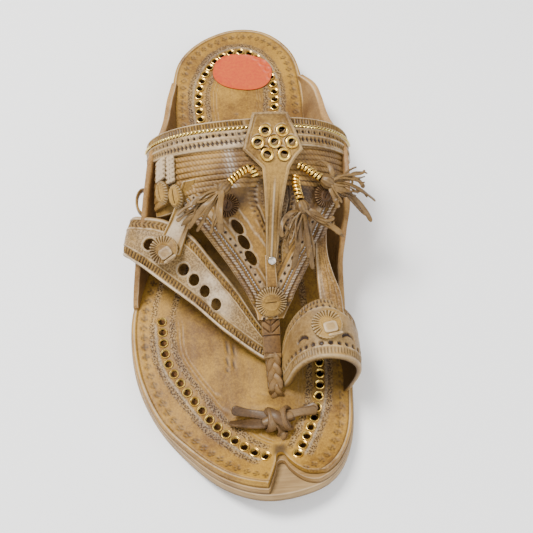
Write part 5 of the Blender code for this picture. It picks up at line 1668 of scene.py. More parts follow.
    def post(self) -> Sheet:
        """Flat strap of the toe post, that goes down into its slot."""
        dense = curve_through(self.post_rows, 90)
        centre = self.form.place(dense[:, 0], dense[:, 1], dense[:, 2], self.last.instep)
        centre = np.vstack([centre, centre[-1] - (0, 0, 4.5 * MM)])
        share = np.linspace(0.5, -0.5, 22)
        normal = over_line(centre)
        across = share[None, :, None] * np.array([7.2 * MM, 0, 0])
        grid = centre[:, None] + across - normal[:, None] * STRAP_THICKNESS
        sheet = Sheet(grid, np.repeat(normal[:, None], len(share), axis=1), STRAP_THICKNESS)
        sheet.borders(0.5 * MM, 0.4, ends=False)
        sheet.relief.darken(0.6)
        return sheet

    def ear(self, rows: Table, side: int) -> Sheet:
        """Side flap that leans out from beside the footbed: dark within, with a pale rim."""
        stations, columns = 150, 30
        along = np.linspace(rows[0][0], rows[-1][0], stations) * self.form.length
        out, rise = table_at(rows, along / self.form.length)
        base = self.form.outsole + self.form.midsole + 2 * self.form.gap
        y, z = self.form.profile(along, base)
        left, right = self.form.edges(along, self.form.insole_inset)
        edge = left if side < 0 else right
        share = np.linspace(0, 1, columns)
        reach = side * out[:, None] * self.form.ball_width * share**1.5
        height = z[:, None] + np.maximum(rise, 0.07)[:, None] * self.last.instep * share
        grid = np.stack([edge[:, None] + reach, y[:, None] + 0 * share, height], axis=-1)
        normals = np.zeros_like(grid)
        normals[..., 0] = -side
        sheet = Sheet(grid, normals, 2.4 * MM, under_shade=0.12)
        u, near, far, marks = sheet.middle_along(), sheet.near, sheet.far, sheet.relief
        marks.round_edge(far, 0.6 * MM, 0.7)
        marks.raise_by(0.35 * MM * noise(7 + side, u / (9 * MM), near / (5 * MM)))
        # Inner face darker away from the rim, for stains and painted shade.
        marks.darken(0.5 * ease((far - 0.7 * MM) / (0.9 * MM)))
        for place in (0.22, 0.37, 0.6, 0.74):
            crease = u - place * u.max() - 1.5 * MM * np.sin(near / (5 * MM) + 7 * place)
            marks.groove(stroke(crease, 0.2 * MM, 0.8 * MM) * ease((far - 2 * MM) / (4 * MM)), 0.4 * MM, 0.9)
        return sheet

    def panel(self) -> Sheet:
        """Throat panel: silver strands and punched dots down both arms of its V, windows on the outer arm."""
        dense = curve_through(self.panel_rows, 156)
        grid, normals = self.last.wall(dense, 0.4 * MM, 140, 0.7)
        sheet = Sheet(grid, normals, 2.0 * MM)
        marks = sheet.relief
        sheet.borders(0.5 * MM, 0.4, ends=False)
        s_left, left = edge_places(grid, grid[:, 0])
        s_right, right = edge_places(grid, grid[:, -1])
        marks.raise_by(0.1 * MM * noise(41, grid[..., 0] / (6 * MM), grid[..., 1] / (6 * MM)))
        for s, gap in ((s_left, left), (s_right, right)):
            start = ease((s - 6 * MM) / (5 * MM))
            for centre, half in ((1.3 * MM, 1.0 * MM), (3.5 * MM, 1.0 * MM)):
                share = cord_height(s, gap - centre, half, 1.5 * MM, 0.55)
                strand = stroke(gap - centre, half) * start
                # Painted shade on the flanks of each strand and in its twists.
                marks.darken(0.85 * strand * ease((0.75 - share) * 2.2))
                marks.cord(share * start, 0.75 * MM, foil=0.42 if centre > 2 * MM else 0.1, rub=0.1)
            marks.groove(stroke(gap - 5.7 * MM, 0.55 * MM) * start, 0.45 * MM, 0.75)
            share = cord_height(s, gap - 5.7 * MM, 0.5 * MM, 1.3 * MM, 0.5)
            marks.gild(0.8 * start * ease((share - 0.6) * 4))
            marks.lines(gap, ((8.2, 1.2, 0.5, 0.12, 0.35),))
            marks.holes(s, gap, ((8.2, 3.9, 0.66, 0.9),))
        outer = ease((right - left) / (4 * MM))
        arm = ((11.0, 0.35, 0.5, 0.4, 0.4), (12.2, 0.25, 0.18, -0.25, 0.4), (19.3, 0.4, 0.5, 0.45, 0.45))
        marks.lines(left, arm, outer)
        # Painted shade and stains on the panel round the stem's upper end, by the coils.
        near_stem = ease((28 * MM - np.abs(grid[..., 0] - 20 * MM)) / (8 * MM))
        dark = near_stem * ease((grid[..., 1] - 40 * MM) / (8 * MM))
        marks.darken(0.85 * dark * (0.8 + 0.3 * noise(47, left / (4 * MM), right / (4 * MM))))
        self.leaf(marks, grid)
        inner = ease((left - right) / (4 * MM))
        marks.lines(right, ((11.2, 0.3, 0.5, -0.3, 0.6),), inner)
        marks.punch(0.7 * inner * ease((right - 12 * MM) / (2 * MM)))
        for across, along in self.panel_windows:
            sheet.hole_at(across * self.form.ball_width, along * self.form.length, 3.9 * MM, 2.3 * MM, 0.22)
        return sheet

    def leaf(self, marks: Relief, grid: Array) -> None:
        """Carved leaf round the ornament's stem, with a beaded groove outside it.

        Its half width at share t of its length is a sin(pi t^1.4), and the beads keep a step outside it.
        """
        x, y = np.abs(grid[..., 0] - 19.6 * MM), grid[..., 1]
        t = np.clip((y - 27 * MM) / (34 * MM), 0, 1)
        half = 7.9 * MM * np.sin(math.pi * t**1.4)
        inside = ease((half - x) / MM)
        marks.raise_by(0.5 * MM * inside)
        marks.ridge(stroke(x - half + 0.8 * MM, 0.3 * MM, 0.5 * MM) * (t > 0) * (t < 1), 0.5 * MM, 0.55)
        marks.groove(stroke(x - half, 0.45 * MM, 0.5 * MM) * (t > 0) * (t < 1), 0.6 * MM, 0.95)
        marks.punch(0.8 * inside * ease((half - x - 2.0 * MM) / MM))
        beads = np.where(t < 0.61, half, 7.9 * MM) + 1.6 * MM
        upper = (y > 22 * MM) & (y < 64 * MM)
        marks.groove(stroke(x - beads, 0.8 * MM, 0.4 * MM) * upper, 0.25 * MM, 0.3)
        marks.groove(dots(y, x - beads, 2.0 * MM, 0.55 * MM) * upper, 0.45 * MM, 0.95)
        marks.ridge(stroke(x - beads - 1.2 * MM, 0.2 * MM, 0.4 * MM) * upper, 0.2 * MM, 0.25)

    def instep_rows(
        self, first: float, last: float, sweep: Sequence[float], inset: float, count: int
    ) -> Array:
        """Rows of along, sweep, left and right across the instep."""
        along = np.linspace(first, last, count)
        left, right = self.instep_span[0] + inset, self.instep_span[1] - inset
        sweeps = np.linspace(sweep[0], sweep[1], count)
        return np.column_stack([along, sweeps, 0 * along + left, 0 * along + right])

    def ribs(self) -> Sheet:
        """Eight twisted leather cords across the instep, side by side."""
        rows = self.instep_rows(0.190, 0.252, (0.009, 0.0567), 0.024, 64)
        grid, normals = (part[:, : -self.tucked] for part in self.last.wall(rows, 0.0, 280, 0.7))
        sheet = Sheet(grid.transpose(1, 0, 2), normals.transpose(1, 0, 2), STRAP_THICKNESS - 0.3 * MM)
        u, marks = sheet.middle_along(), sheet.relief
        pitch = sheet.near[:, -1:] / self.cords
        place = (sheet.near / pitch % 1.0 - 0.5) * 2.0
        run = u + np.floor(sheet.near / pitch) * 0.37 * MM
        twist = cord_height(run, place, 0.97, self.cord_pitch, 0.4) ** 0.6
        valley = ease((np.abs(place) - 0.72) / 0.2)
        knots = 0.55 + 0.45 * np.cos(2 * math.pi * run / self.cord_pitch + place)
        # Painted shade in the valleys between the cords and, lightly, in the hollows of their twists.
        marks.darken(0.9 * valley * knots + 0.28 * (1 - valley) * (1 - knots))
        marks.cord(twist, 0.8 * MM, rub=0.1)
        share = u / u.max()
        patch = np.exp(-(((share - 0.43) / 0.022) ** 2)) + 0.5 * np.exp(-(((share - 0.61) / 0.02) ** 2))
        marks.gild(0.65 * patch * knots * ease(twist * 1.4 - 0.4))
        return sheet

    def band(self) -> Sheet:
        """Instep band: slits, thread, dashes, dots and diamonds between low ridges."""
        rows = self.instep_rows(0.248, 0.297, (0.060, 0.060), 0.0, 48)
        grid, normals = self.last.wall(rows, 0.5 * MM, 330, 0.7)
        sheet = Sheet(grid.transpose(1, 0, 2), normals.transpose(1, 0, 2), self.band_thickness)
        u, far, marks = sheet.middle_along(), sheet.far, sheet.relief
        sheet.borders(0.7 * MM, 0.6)
        worked = ease((u - 9 * MM) / (3 * MM)) * ease((u.max() - u - 5 * MM) / (3 * MM))
        slit_rows = ((2.1, 1.35, 0.34, 1.2, 0.55, 0.0, 0.85), (7.2, 1.45, 0.26, 0.95, 0.45, 0.0, 0.6))
        marks.cuts(u, far, slit_rows, worked)
        marks.holes(u, far, ((7.3, 2.9, 0.75, 0.8),), worked)
        marks.lines(far, (
            (3.7, 0.15, 0.18, 0.15, 0.5), (4.6, 0.5, 0.18, -0.3, 0.5), (5.6, 0.15, 0.18, 0.2, 0.6),
            (8.9, 0.2, 0.18, 0.25, 0.7), (12.5, 0.2, 0.18, 0.15, 0.4),
        ))
        marks.groove(drops(u, far - 10.9 * MM, 2.05 * MM, 0.85 * MM, 1.5 * MM), 0.8 * MM, 1.0)
        # A pale speckled patch over the middle of the band, for rubbing and a painted sheen.
        speckle = 0.6 + 0.5 * noise(61, u / (5 * MM), far / (2 * MM))
        silver = speckle * np.exp(-(((u / u.max() - 0.44) / 0.22) ** 2))
        marks.wear_and_painted_shading(0.8 * silver * (far > 5.6 * MM))
        return sheet

    def gold_thread(self, band: Sheet) -> Shell:
        """Two-ply gilt thread laid in the band's groove: two tubes that wind round each other."""
        line = []
        for row in range(len(band.grid)):
            column = int(np.abs(band.far[row] - self.thread_place).argmin())
            line.append(band.grid[row, column] + band.normals[row, column] * (self.band_thickness + 0.2 * MM))
        line = even(np.array(line), 700)
        normal = np.array([[0.0, 0.0, 1.0]])
        run = lengths(line)
        side = unit(np.cross(unit(np.gradient(line, axis=0)), normal))
        up = np.cross(side, unit(np.gradient(line, axis=0)))
        shells = []
        for ply in (0.0, math.pi):
            turn = 2 * math.pi * run / (4.0 * MM) + ply
            path = line + 0.42 * MM * (side * np.cos(turn)[:, None] + up * np.sin(turn)[:, None])
            dash = (0.30 + 0.16 * np.sin(turn)) * MM
            shells.append(sweep_shell(path, dash, dash, side, 7))
        return Shell.joined(shells)


@dataclass(frozen=True)
class Rosette:
    """Pleated leather button: a disc or an oval with radial folds at its rim, and on some a slit on top."""

    half_x: float
    half_y: float
    thickness: float
    pleats: int = 34
    inner: float = 0.5
    """Share of the radius where the folds start."""
    dome: float = 0.0
    slit: float = 0.0
    """Half the length of the slit, 0 for none."""
    slit_turn: float = 0.0
    smooth_from: float = 10.0
    """Angle in degrees where the folds are pressed flat, over smooth_span."""
    smooth_span: float = 0.0

    def shell(self, centre: Array, normal: Array, turned: float = 0.0, segments: int = 204) -> Shell:
        """The button seated at a centre with its axis along a normal and its folds turned by an angle."""
        profile = np.array(
            [(0.0, 0.0), (0.80, 0.0), (0.93, 0.05), (1.0, 0.3), (1.0, 0.55), (0.97, 0.76), (0.92, 0.86)]
            + [(share, 0.9) for share in np.linspace(0.87, 0.04, 24)] + [(0.0, 0.9)]
        )
        turn = np.linspace(0, 2 * math.pi, segments, endpoint=False)
        share, level = profile[:, :1] + 0 * turn, profile[:, 1:] + 0 * turn
        top = np.arange(len(profile))[:, None] >= 5
        fold = 0.5 + 0.5 * np.cos(self.pleats * turn + 0.5 * np.sin(3 * turn))
        reach = ease((share - self.inner) / 0.25) * ease((1.06 - share) / 0.1)
        gap = np.abs((np.degrees(turn) - self.smooth_from + 180) % 360 - 180)
        flat = 1.0 - ease((self.smooth_span - gap) / 40.0 + 0.5) if self.smooth_span else 1.0
        depth = reach * (1 - fold) ** 1.3 * flat
        height = level * self.thickness + self.dome * np.sqrt(np.clip(1 - share**2, 0, 1)) * top
        height = height - (0.8 * MM * depth + 0.4 * MM * reach * share**2) * top
        height = height + 0.25 * MM * top * stroke(share - self.inner, 0.03, 0.12)
        radius = share * (1 - 0.035 * (1 - fold) * (share > 0.9))
        x, y = self.half_x * radius * np.cos(turn), self.half_y * radius * np.sin(turn)
        # Painted shade in the valleys of the folds and on the underside and lower wall.
        pit = np.where(top, 0.62 * depth, 0.35)
        if self.slit:
            c, s = math.cos(self.slit_turn), math.sin(self.slit_turn)
            cut = top * stroke(c * y - s * x, 0.18 * MM, 0.3 * MM) * stroke(
                c * x + s * y, self.slit, 0.5 * MM
            )
            # Painted shade in the slit.
            height, pit = height - 0.5 * MM * cut, np.maximum(pit, 0.95 * cut)
        # Rubbing and painted highlight on the crests of the folds and round the rim.
        rub = 0.3 * top * reach * fold * flat + 0.35 * top * stroke(share - 0.95, 0.03, 0.08)
        spin = np.array([[math.cos(turned), -math.sin(turned)], [math.sin(turned), math.cos(turned)]])
        xy = np.stack([x, y], axis=-1) @ spin.T
        points = np.concatenate([xy, height[..., None]], axis=-1) @ upright_to(normal).T + centre
        masks = {Mask.PIT.value: pit.reshape(-1), Mask.RUB.value: rub.reshape(-1)}
        return closed_rings(points, masks)


def pad(half: Sequence[float], centre: Array, normal: Array, turned: float, square: float = 4.5) -> Shell:
    """Rounded square pad, such as a flat knot: superellipse rings that rise to a soft top."""
    turn = np.linspace(0, 2 * math.pi, 64, endpoint=False)
    c, s = superellipse(turn, square)
    profile = (
        (0.0, 0.0), (0.9, 0.0), (1.0, 0.25), (1.0, 0.6), (0.94, 0.85), (0.8, 0.97), (0.5, 1.02), (0.0, 1.05)
    )
    rings, pit, rub = [], [], []
    for share, level in profile:
        rings.append(np.stack([half[0] * share * c, half[1] * share * s, 0 * c + half[2] * level], axis=-1))
        # Painted shade round the pad's foot; rubbing and painted highlight, strongest near its top.
        pit.append(0 * c + (0.6 if level < 0.1 else 0.0))
        rub.append(0 * c + (0.5 if 0.8 < level < 1.0 else 0.15))
    cosine, sine = math.cos(turned), math.sin(turned)
    spin = np.array([[cosine, -sine, 0], [sine, cosine, 0], [0, 0, 1]])
    points = np.array(rings) @ spin.T @ upright_to(normal).T + centre
    return closed_rings(points, {Mask.PIT.value: np.ravel(pit), Mask.RUB.value: np.ravel(rub)})


class Ornament:
    """Hexagonal head with a long ridged stem over the instep, and its seven brass eyelets."""

    rows: Table = (
        (0.302, 0.128, 0.272, 1.90), (0.272, 0.100, 0.298, 1.90), (0.242, 0.073, 0.322, 1.90),
        (0.229, 0.110, 0.290, 1.85), (0.215, 0.150, 0.264, 1.75), (0.190, 0.152, 0.244, 1.70),
        (0.155, 0.150, 0.220, 1.65), (0.118, 0.145, 0.202, 1.60), (0.092, 0.141, 0.188, 1.55),
        (0.082, 0.147, 0.180, 1.55),
    )
    thickness: float = 2.4 * MM
    ring_radius: float = 7.2 * MM
    ring_squash: float = 0.80
    centre: tuple[float, float] = (0.209, 0.2515)

    def __init__(self, last: LastForm) -> None:
        """Keeps the last that the ornament lies over."""
        self.last = last

    def size(self, across: Array, along: Array) -> tuple[Array, Array]:
        """Shares of the ball's width and the length, in metres."""
        return np.asarray(across) * self.last.sole.ball_width, np.asarray(along) * self.last.sole.length

    def places(self) -> Array:
        """Centres of the eyelets: one in the middle and six round it."""
        middle = np.array(self.size(*self.centre))
        turn = np.radians(60.0 * np.arange(6))
        ring = self.ring_radius * np.stack([np.cos(turn), self.ring_squash * np.sin(turn)], axis=1)
        return np.vstack([middle, middle + ring])

    def plate(self) -> Shell:
        """Head and stem as one plate: a raised rim, a ridge down the stem and a hole at each eyelet."""
        rows = np.array(self.rows)
        along = np.linspace(rows[0, 0], rows[-1, 0], 220)
        left, right, lift = (np.interp(-along, -rows[:, 0], rows[:, k]) for k in (1, 2, 3))
        share = np.linspace(0, 1, 60)
        x, y = self.size(left[:, None] + (right - left)[:, None] * share, along[:, None] + 0 * share)
        lift = lift * STRAP_THICKNESS
        grid = self.last.point(x, y, lift[:, None] + 0 * share)
        normals = away_normals(grid, self.last.sole.middle)
        sheet = Sheet(grid, normals, self.thickness)
        rim = np.vstack([grid[0], grid[1:, -1], grid[-1, -2::-1], grid[-2::-1, 0]])
        _, gap = edge_places(grid, even(rim, 900))
        marks = sheet.relief
        marks.round_edge(gap, 0.5 * MM, 0.3)
        head = ease((y - 56 * MM) / (5 * MM))
        marks.lines(gap, ((1.0, 0.35, 0.4, 0.4, 0.25),), 0.4 + 0.6 * head)
        marks.lines(gap, ((1.9, 0.15, 0.3, -0.25, 0.5),), 0.3 + 0.7 * head)
        middle = x - x[:, :1] - (x[:, -1:] - x[:, :1]) / 2
        stem = ease((56 * MM - y) / (8 * MM))
        marks.darken(0.18 * stem)
        # Ridge down the stem, with rubbing and a painted highlight along it.
        marks.ridge(stroke(middle + 0.2 * MM, 0.45 * MM, 0.6 * MM) * stem, 0.45 * MM, 0.5)
        for side in (-1, 1):
            marks.lines(middle - side * 1.9 * MM, ((0.0, 0.2, 0.4, -0.3, 0.55),), stem * ease(gap / MM))
        marks.raise_by(-0.5 * MM * head * ease((gap - 2 * MM) / (3 * MM)))
        marks.raise_by(0.1 * MM * noise(77, x / (5 * MM), y / (5 * MM)))
        for place in self.places():
            away = np.hypot(x - place[0], y - place[1])
            marks.groove(stroke(away, 2.9 * MM, 0.6 * MM), 0.15 * MM, 0.45)
            sheet.hole_at(place[0], place[1], 1.95 * MM, 1.95 * MM)
        return sheet.shell()

    def seat(self, x: float, y: float) -> tuple[Array, Array]:
        """Top of the plate and its normal at a place."""
        lift = self.rows[0][3] * STRAP_THICKNESS + self.thickness
        low, high = self.last.point(x, y, lift - MM), self.last.point(x, y, lift)
        return high - 0.4 * MM * unit(high - low), unit(high - low)

    def eyelet(self, x: float, y: float) -> Shell:
        """Large brass eyelet: a rolled flange with a straight throat."""
        profile = [
            (1.35, -1.9), (1.75, -1.9), (1.75, 0.15), (2.3, 0.1), (2.75, 0.15), (2.85, 0.4), (2.7, 0.72)
        ]
        profile += [(2.35, 0.95), (1.95, 0.95), (1.6, 0.72), (1.4, 0.3), (1.35, -0.4)]
        shell = turned_shell(np.array(profile) * MM * (1.1, 1.0), 40, *self.seat(x, y))
        # Painted shade down the throat and on the inner slope of the flange.
        shell.masks = {Mask.PIT.value: np.repeat([1, 1, 0.6, 0, 0, 0, 0, 0, 0.1, 0.35, 0.7, 1.0], 40)}
        return shell

    def build(self) -> None:
        """Makes the plate, its eyelets, the rivet and the stem's tail."""
        self.plate().piece("ornament_plate", TRIM, "centre_ornament", sharp=60)
        for number, (x, y) in enumerate(self.places()):
            self.eyelet(x, y).piece(f"head_eyelet_{number + 1}", BRASS, f"ornament_eyelet_{number + 1}")
        x, y = self.size(0.1635, 0.086)
        base = self.last.point(float(x), float(y), 1.55 * STRAP_THICKNESS + 2.5 * MM)
        up = unit(base - self.last.point(float(x), float(y), 0.0))
        rivet = Rosette(2.0 * MM, 2.0 * MM, 0.8 * MM, 1, 2.0, 0.35 * MM)
        rivet.shell(base, up, segments=48).piece("stem_rivet", RIVET)
        self.tail().piece("stem_tail", PANEL)

    def tail(self) -> Shell:
        """Narrow end of the stem, from the rivet down to the rosette, creased across."""
        along = np.linspace(0.094, 0.040, 70)
        share = np.linspace(-0.5, 0.5, 20)
        width = np.interp(along, (0.040, 0.094), (0.052, 0.044))
        x, y = self.size(0.157 + width[:, None] * share, along[:, None] + 0 * share)
        lift = np.interp(along, (0.040, 0.094), (3.4 * MM, 3.2 * MM))
        grid = self.last.point(x, y, lift[:, None] + 0 * share)
        sheet = Sheet(grid, away_normals(grid, self.last.sole.middle), 1.6 * MM)
        sheet.borders(0.5 * MM, 0.5)
        for k in range(11):
            sheet.relief.lines(sheet.along, ((1.4 * k + 1, 0.1, 0.35, -0.12, 0.35),))
        return sheet.shell()


class Trim:
    """Rosettes, side rolls, braid, knot and the small loose straps."""

    radius: float = 7.0 * MM

    def __init__(self, upper: Upper) -> None:
        """Keeps the upper that the trim sits on."""
        self.upper = upper
        self.last = upper.last
        self.form = upper.form

    def strap_seat(self, rows: Table, share: float, across: float, lift: float) -> tuple[Array, Array]:
        """Centre and normal on a strap, at a share of its length and width."""
        sheet = self.upper.between(rows, 101, 11, 1.2 * MM, 0.0)
        i, j = round(share * 100), round(across * 10)
        return sheet.grid[i, j] + sheet.normals[i, j] * lift, sheet.normals[i, j]

    def build(self) -> None:
        """Makes every piece of the trim."""
        self.rosettes()
        self.rolls()
        self.braid().piece("post_braid", BRAID, "toe_post_braid")
        self.wrap().piece("post_wrap", BRAID, "toe_post_braid")
        self.knot().piece("thong_knot", THONG, "toe_knot")
        self.edge_straps().piece("edge_straps", TRIM)
        self.loop().piece("ear_loop", TRIM)

    def rosettes(self) -> None:
        """Five pleated rosettes."""
        thick = 2.4 * MM
        throat = Rosette(
            self.radius + 0.3 * MM, self.radius + 0.3 * MM, thick, 32, 0.5, 0.5 * MM, 2.6 * MM, 0.05, 270, 40
        )
        small = Rosette(0.8 * self.radius, 0.8 * self.radius, thick, 26, 0.35, 0.3 * MM, 1.6 * MM, 1.2)
        wide = Rosette(self.radius, self.radius, thick, 27, 0.4, 0.3 * MM, 0.0, 0.0, 300, 80)
        throat_seat = self.last.seat(0.148, 0.029, 4.3 * MM)
        throat.shell(*throat_seat).piece("throat_button", TRIM, "throat_rosette")
        for name, node, across, along, lift in (
            ("outer_button", "panel_rosette_outer", -0.010, 0.168, 2.9 * MM),
            ("inner_button", "panel_rosette_inner", 0.404, 0.180, 3.3 * MM),
        ):
            small.shell(*self.last.seat(across, along, lift)).piece(name, DARK_TRIM, node)
        for name, node, rows, share, across, lift, lean in (
            ("strap_button", "strap_rosette", self.upper.cross_rows, 0.50, 0.53, 7.1 * MM, 0.5),
            ("ring_button", "ring_rosette", self.upper.ring_rows, 0.45, 0.50, 2.2 * MM, 0.15),
        ):
            centre, normal = self.strap_seat(rows, share, across, lift)
            button = wide.shell(centre, normal, lean)
            shift = np.array([1.2, -2.0, 0.0]) * MM
            knot = pad((3.1 * MM, 2.6 * MM, 1.5 * MM), centre + normal * 2.0 * MM + shift, normal, lean)
            fold = pad((3.3 * MM, 0.6 * MM, 0.8 * MM), centre + normal * 2.0 * MM + shift * 2.6, normal, lean)
            Shell.joined([button, knot, fold]).piece(name, TRIM, node)

    def rolls(self) -> None:
        """Two pleated oval buttons beside the band at the little-toe side."""
        button = Rosette(3.6 * MM, 5.8 * MM, 2.8 * MM, 22, 0.7, 1.8 * MM, 3.4 * MM, math.pi / 2)
        for number, (across, along, lift) in enumerate(((-0.262, 0.210, 2.50), (-0.209, 0.195, 2.66))):
            centre, normal = self.last.seat(across, along, lift * STRAP_THICKNESS - 2.4 * MM)
            button.shell(centre, normal).piece(f"pleated_roll_{number + 1}", TRIM, f"side_roll_{number + 1}")

    def post_line(self, count: int) -> tuple[Array, Array]:
        """Points along the toe post's top from behind the rosette to the slot, and their normals."""
        dense = curve_through(self.upper.post_rows, 4 * count)
        line = self.form.place(dense[:, 0], dense[:, 1], dense[:, 2], self.last.instep)
        line = np.vstack(
            [line[dense[:, 1] < -0.058], self.form.place(0.139, -0.121, -0.02, self.last.instep)]
        )
        line = even(line, count)
        return line, over_line(line)

    def braid(self, period: float = 15.0 * MM) -> Shell:
        """Three flat strands plaited over the post.

        Strand k runs across by a sin(t + 2 pi k / 3) and over by b sin(2 t + 4 pi k / 3), where t is 2 pi
        times the length over the period.
        """
        line, normal = self.post_line(190)
        run = lengths(line)
        shells = []
        for strand in range(3):
            turn = 2 * math.pi * (run / period + strand / 3)
            across = 2.1 * MM * np.sin(turn)
            over = 1.5 * MM + 0.62 * MM * np.sin(2 * turn)
            path = line + across[:, None] * np.array([1.0, 0, 0]) + over[:, None] * normal
            side = np.array([1.0, 0.0, 0.0]) + 0.35 * np.cos(turn)[:, None] * normal
            shells.append(sweep_shell(path, 1.5 * MM, 0.72 * MM, side, 12, 3.0))
        return Shell.joined(shells)

    def wrap(self) -> Shell:
        """Flat strip over the post above the braid, plaited at its upper end, with a turned lower edge."""
        dense = curve_through(self.upper.post_rows, 400)
        line = self.form.place(dense[:, 0], dense[:, 1], dense[:, 2], self.last.instep)
        line = even(line[(dense[:, 1] < 0.012) & (dense[:, 1] > -0.066)], 70)
        normal = over_line(line)
        share = np.linspace(-1, 1, 30)
        bow = 0.9 * MM * (1 - share**2) + 0.6 * MM
        half = np.linspace(4.4, 4.1, 70)[:, None, None] * MM
        across = share[None, :, None] * half * np.array([1.0, 0, 0])
        grid = line[:, None] + across + normal[:, None] * bow[None, :, None]
        sheet = Sheet(grid, np.repeat(normal[:, None], 30, axis=1), 1.0 * MM)
        sheet.borders(0.4 * MM, 0.5)
        sheet.relief.lines(sheet.left, ((1.3, 0.9, 0.4, 0.35, 0.4), (2.7, 0.15, 0.18, -0.3, 0.8)))
        middle = np.abs(sheet.near - sheet.far) / 2
        plait = stroke(repeat(sheet.along + 0.9 * middle, 3.6 * MM), 0.3 * MM, 0.5 * MM)
        plait = np.maximum(plait, stroke(middle, 0.15 * MM, 0.4 * MM))
        sheet.relief.groove(plait * ease((11 * MM - sheet.along) / MM), 0.6 * MM, 0.8)
        sheet.relief.lines(sheet.along, ((11.5, 0.25, 0.4, -0.5, 0.9),))
        return sheet.shell()

    def knot(self) -> Shell:
        """Thong knot: two loops and two bars over each other, and five flat ends with blunt tips."""
        centre = self.form.place(0.133, -0.171, 0.0, self.last.instep) + (0, 0, 3.5 * MM)
        shells = []
        turn = np.linspace(-0.5 * math.pi, 1.25 * math.pi, 40)
        for shift, lean, wide in ((-2.9, 0.9, 2.7), (3.2, -1.8, 3.1)):
            across = shift * MM + lean * MM * np.sin(turn)
            loop = np.stack([across, 4.2 * MM * np.cos(turn), 2.9 * MM * np.sin(turn)], axis=1)
            side = np.array([1.0, 0.15, 0.1])
            shells.append(sweep_shell(centre + loop, wide * MM, 1.1 * MM, side, 16, 2.6))
        bar = np.linspace(-1, 1, 30)
        for (dx, dy, arch, lift), wide, thin, high, side in (
            ((6.2, 1.2, 1.2, 0.4), 2.6, 0.2, 1.9, (0.0, 1.0, 0.0)),
            ((-4.6, 4.4, 2.9, 0.9), 2.5, 0.3, 1.2, (0.7, 0.7, 0.0)),
        ):
            path = centre + MM * np.stack([dx * bar, dy * bar, arch * (1 - bar**2) + lift], axis=1)
            shells.append(sweep_shell(path, wide * MM * (1 - thin * bar**2), high * MM, np.array(side), 14))
        share = np.linspace(0, 1, 60)
        for across, along, rise, wave in (
            (-0.190, 0.023, 0.9, 0.4), (-0.205, 0.000, -1.4, -0.9), (0.174, 0.018, 0.2, 0.3),
            (0.170, 0.013, 1.0, 0.9),
            (0.022, -0.031, -1.8, 0.2),
        ):
            reach = np.array((across * self.form.ball_width, along * self.form.length, rise * MM))
            path = centre + reach * share[:, None]
            path[:, 1] += wave * MM * np.sin(math.pi * share * 1.3)
            path[:, 2] += 0.6 * MM * np.sin(math.pi * share * 2.0 + wave)
            tip = np.sqrt(np.clip((1.03 - share) * 12, 0.1, 1))
            tip = tip * (0.85 + 0.2 * share + 0.1 * np.sin(7 * share + wave))
            side = np.stack([0 * share, np.cos(1.1 * share * wave), np.sin(1.1 * share * wave)], axis=1)
            wide = (3.0 if rise < -1 else 2.1) * MM * tip
            shells.append(sweep_shell(path, wide, 0.8 * MM, side, 14, 3.2))
        return Shell.joined(shells)

    def edge_straps(self) -> Shell:
        """Two pale upright straps with pinked edges that come down from the band to the pleated rolls."""
        shells = []
        for across, first, last, half in ((-0.274, 0.224, 0.262, 2.1), (-0.232, 0.212, 0.258, 1.75)):
            along = np.linspace(first, last, 46) * self.form.length
            teeth = np.abs(repeat(along, 2.2 * MM)) / (1.1 * MM)
            half_width = (half + 0.35 * (teeth - 0.5)) * MM
            share = np.linspace(-1, 1, 22)
            x = across * self.form.ball_width + half_width[:, None] * share
            y = along[:, None] + 0 * share + 0.05 * (x - x[:, :1])
            sweep = 0.040 * self.form.length * ((x / self.form.ball_width - 0.107) / 0.453) ** 2
            lift = np.interp(along, (along[0], along[-1]), (3.2, 2.2))[:, None] * MM + 0 * share
            grid = self.last.point(x, y, lift)
            grid[..., 1] += 0.4 * sweep
            sheet = Sheet(grid, away_normals(grid, self.form.middle), 1.4 * MM)
            sheet.borders(0.6 * MM, 0.7)
            sheet.relief.wear_and_painted_shading(0.55)
            u, pitch = sheet.middle_along(), 2.2 * MM
            sheet.relief.groove(dots(u, sheet.near - sheet.far, pitch, 0.5 * MM), 0.4 * MM, 0.6)
            gap = np.minimum(sheet.near, sheet.far)
            sheet.relief.groove(slits(u, gap - 0.5 * MM, pitch, 0.3 * MM, 0.6 * MM), 0.5 * MM, 0.5)
            shells.append(sheet.shell())
        return Shell.joined(shells)

    def loop(self) -> Shell:
        """Small folded loop of leather outside the outer ear."""
        turn = np.linspace(-0.55 * math.pi, 0.55 * math.pi, 50)
        centre = np.array([-42.0, 63.5, 31.0]) * MM
        path = centre + np.stack(
            [-3.4 * MM * np.cos(turn), 6.4 * MM * np.sin(turn), 1.2 * MM * np.sin(turn)], axis=1
        )
        return sweep_shell(path, 2.2 * MM, 0.7 * MM, np.array([0.75, 0.0, 1.0]), 12, 3.0)


@dataclass(frozen=True)
class Strip:
    """One strip of a tassel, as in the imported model, with its own curl at the tip."""

    heading: float
    length: float
    turn: float
    rise: float
    width: float
    curl: float = 0.0


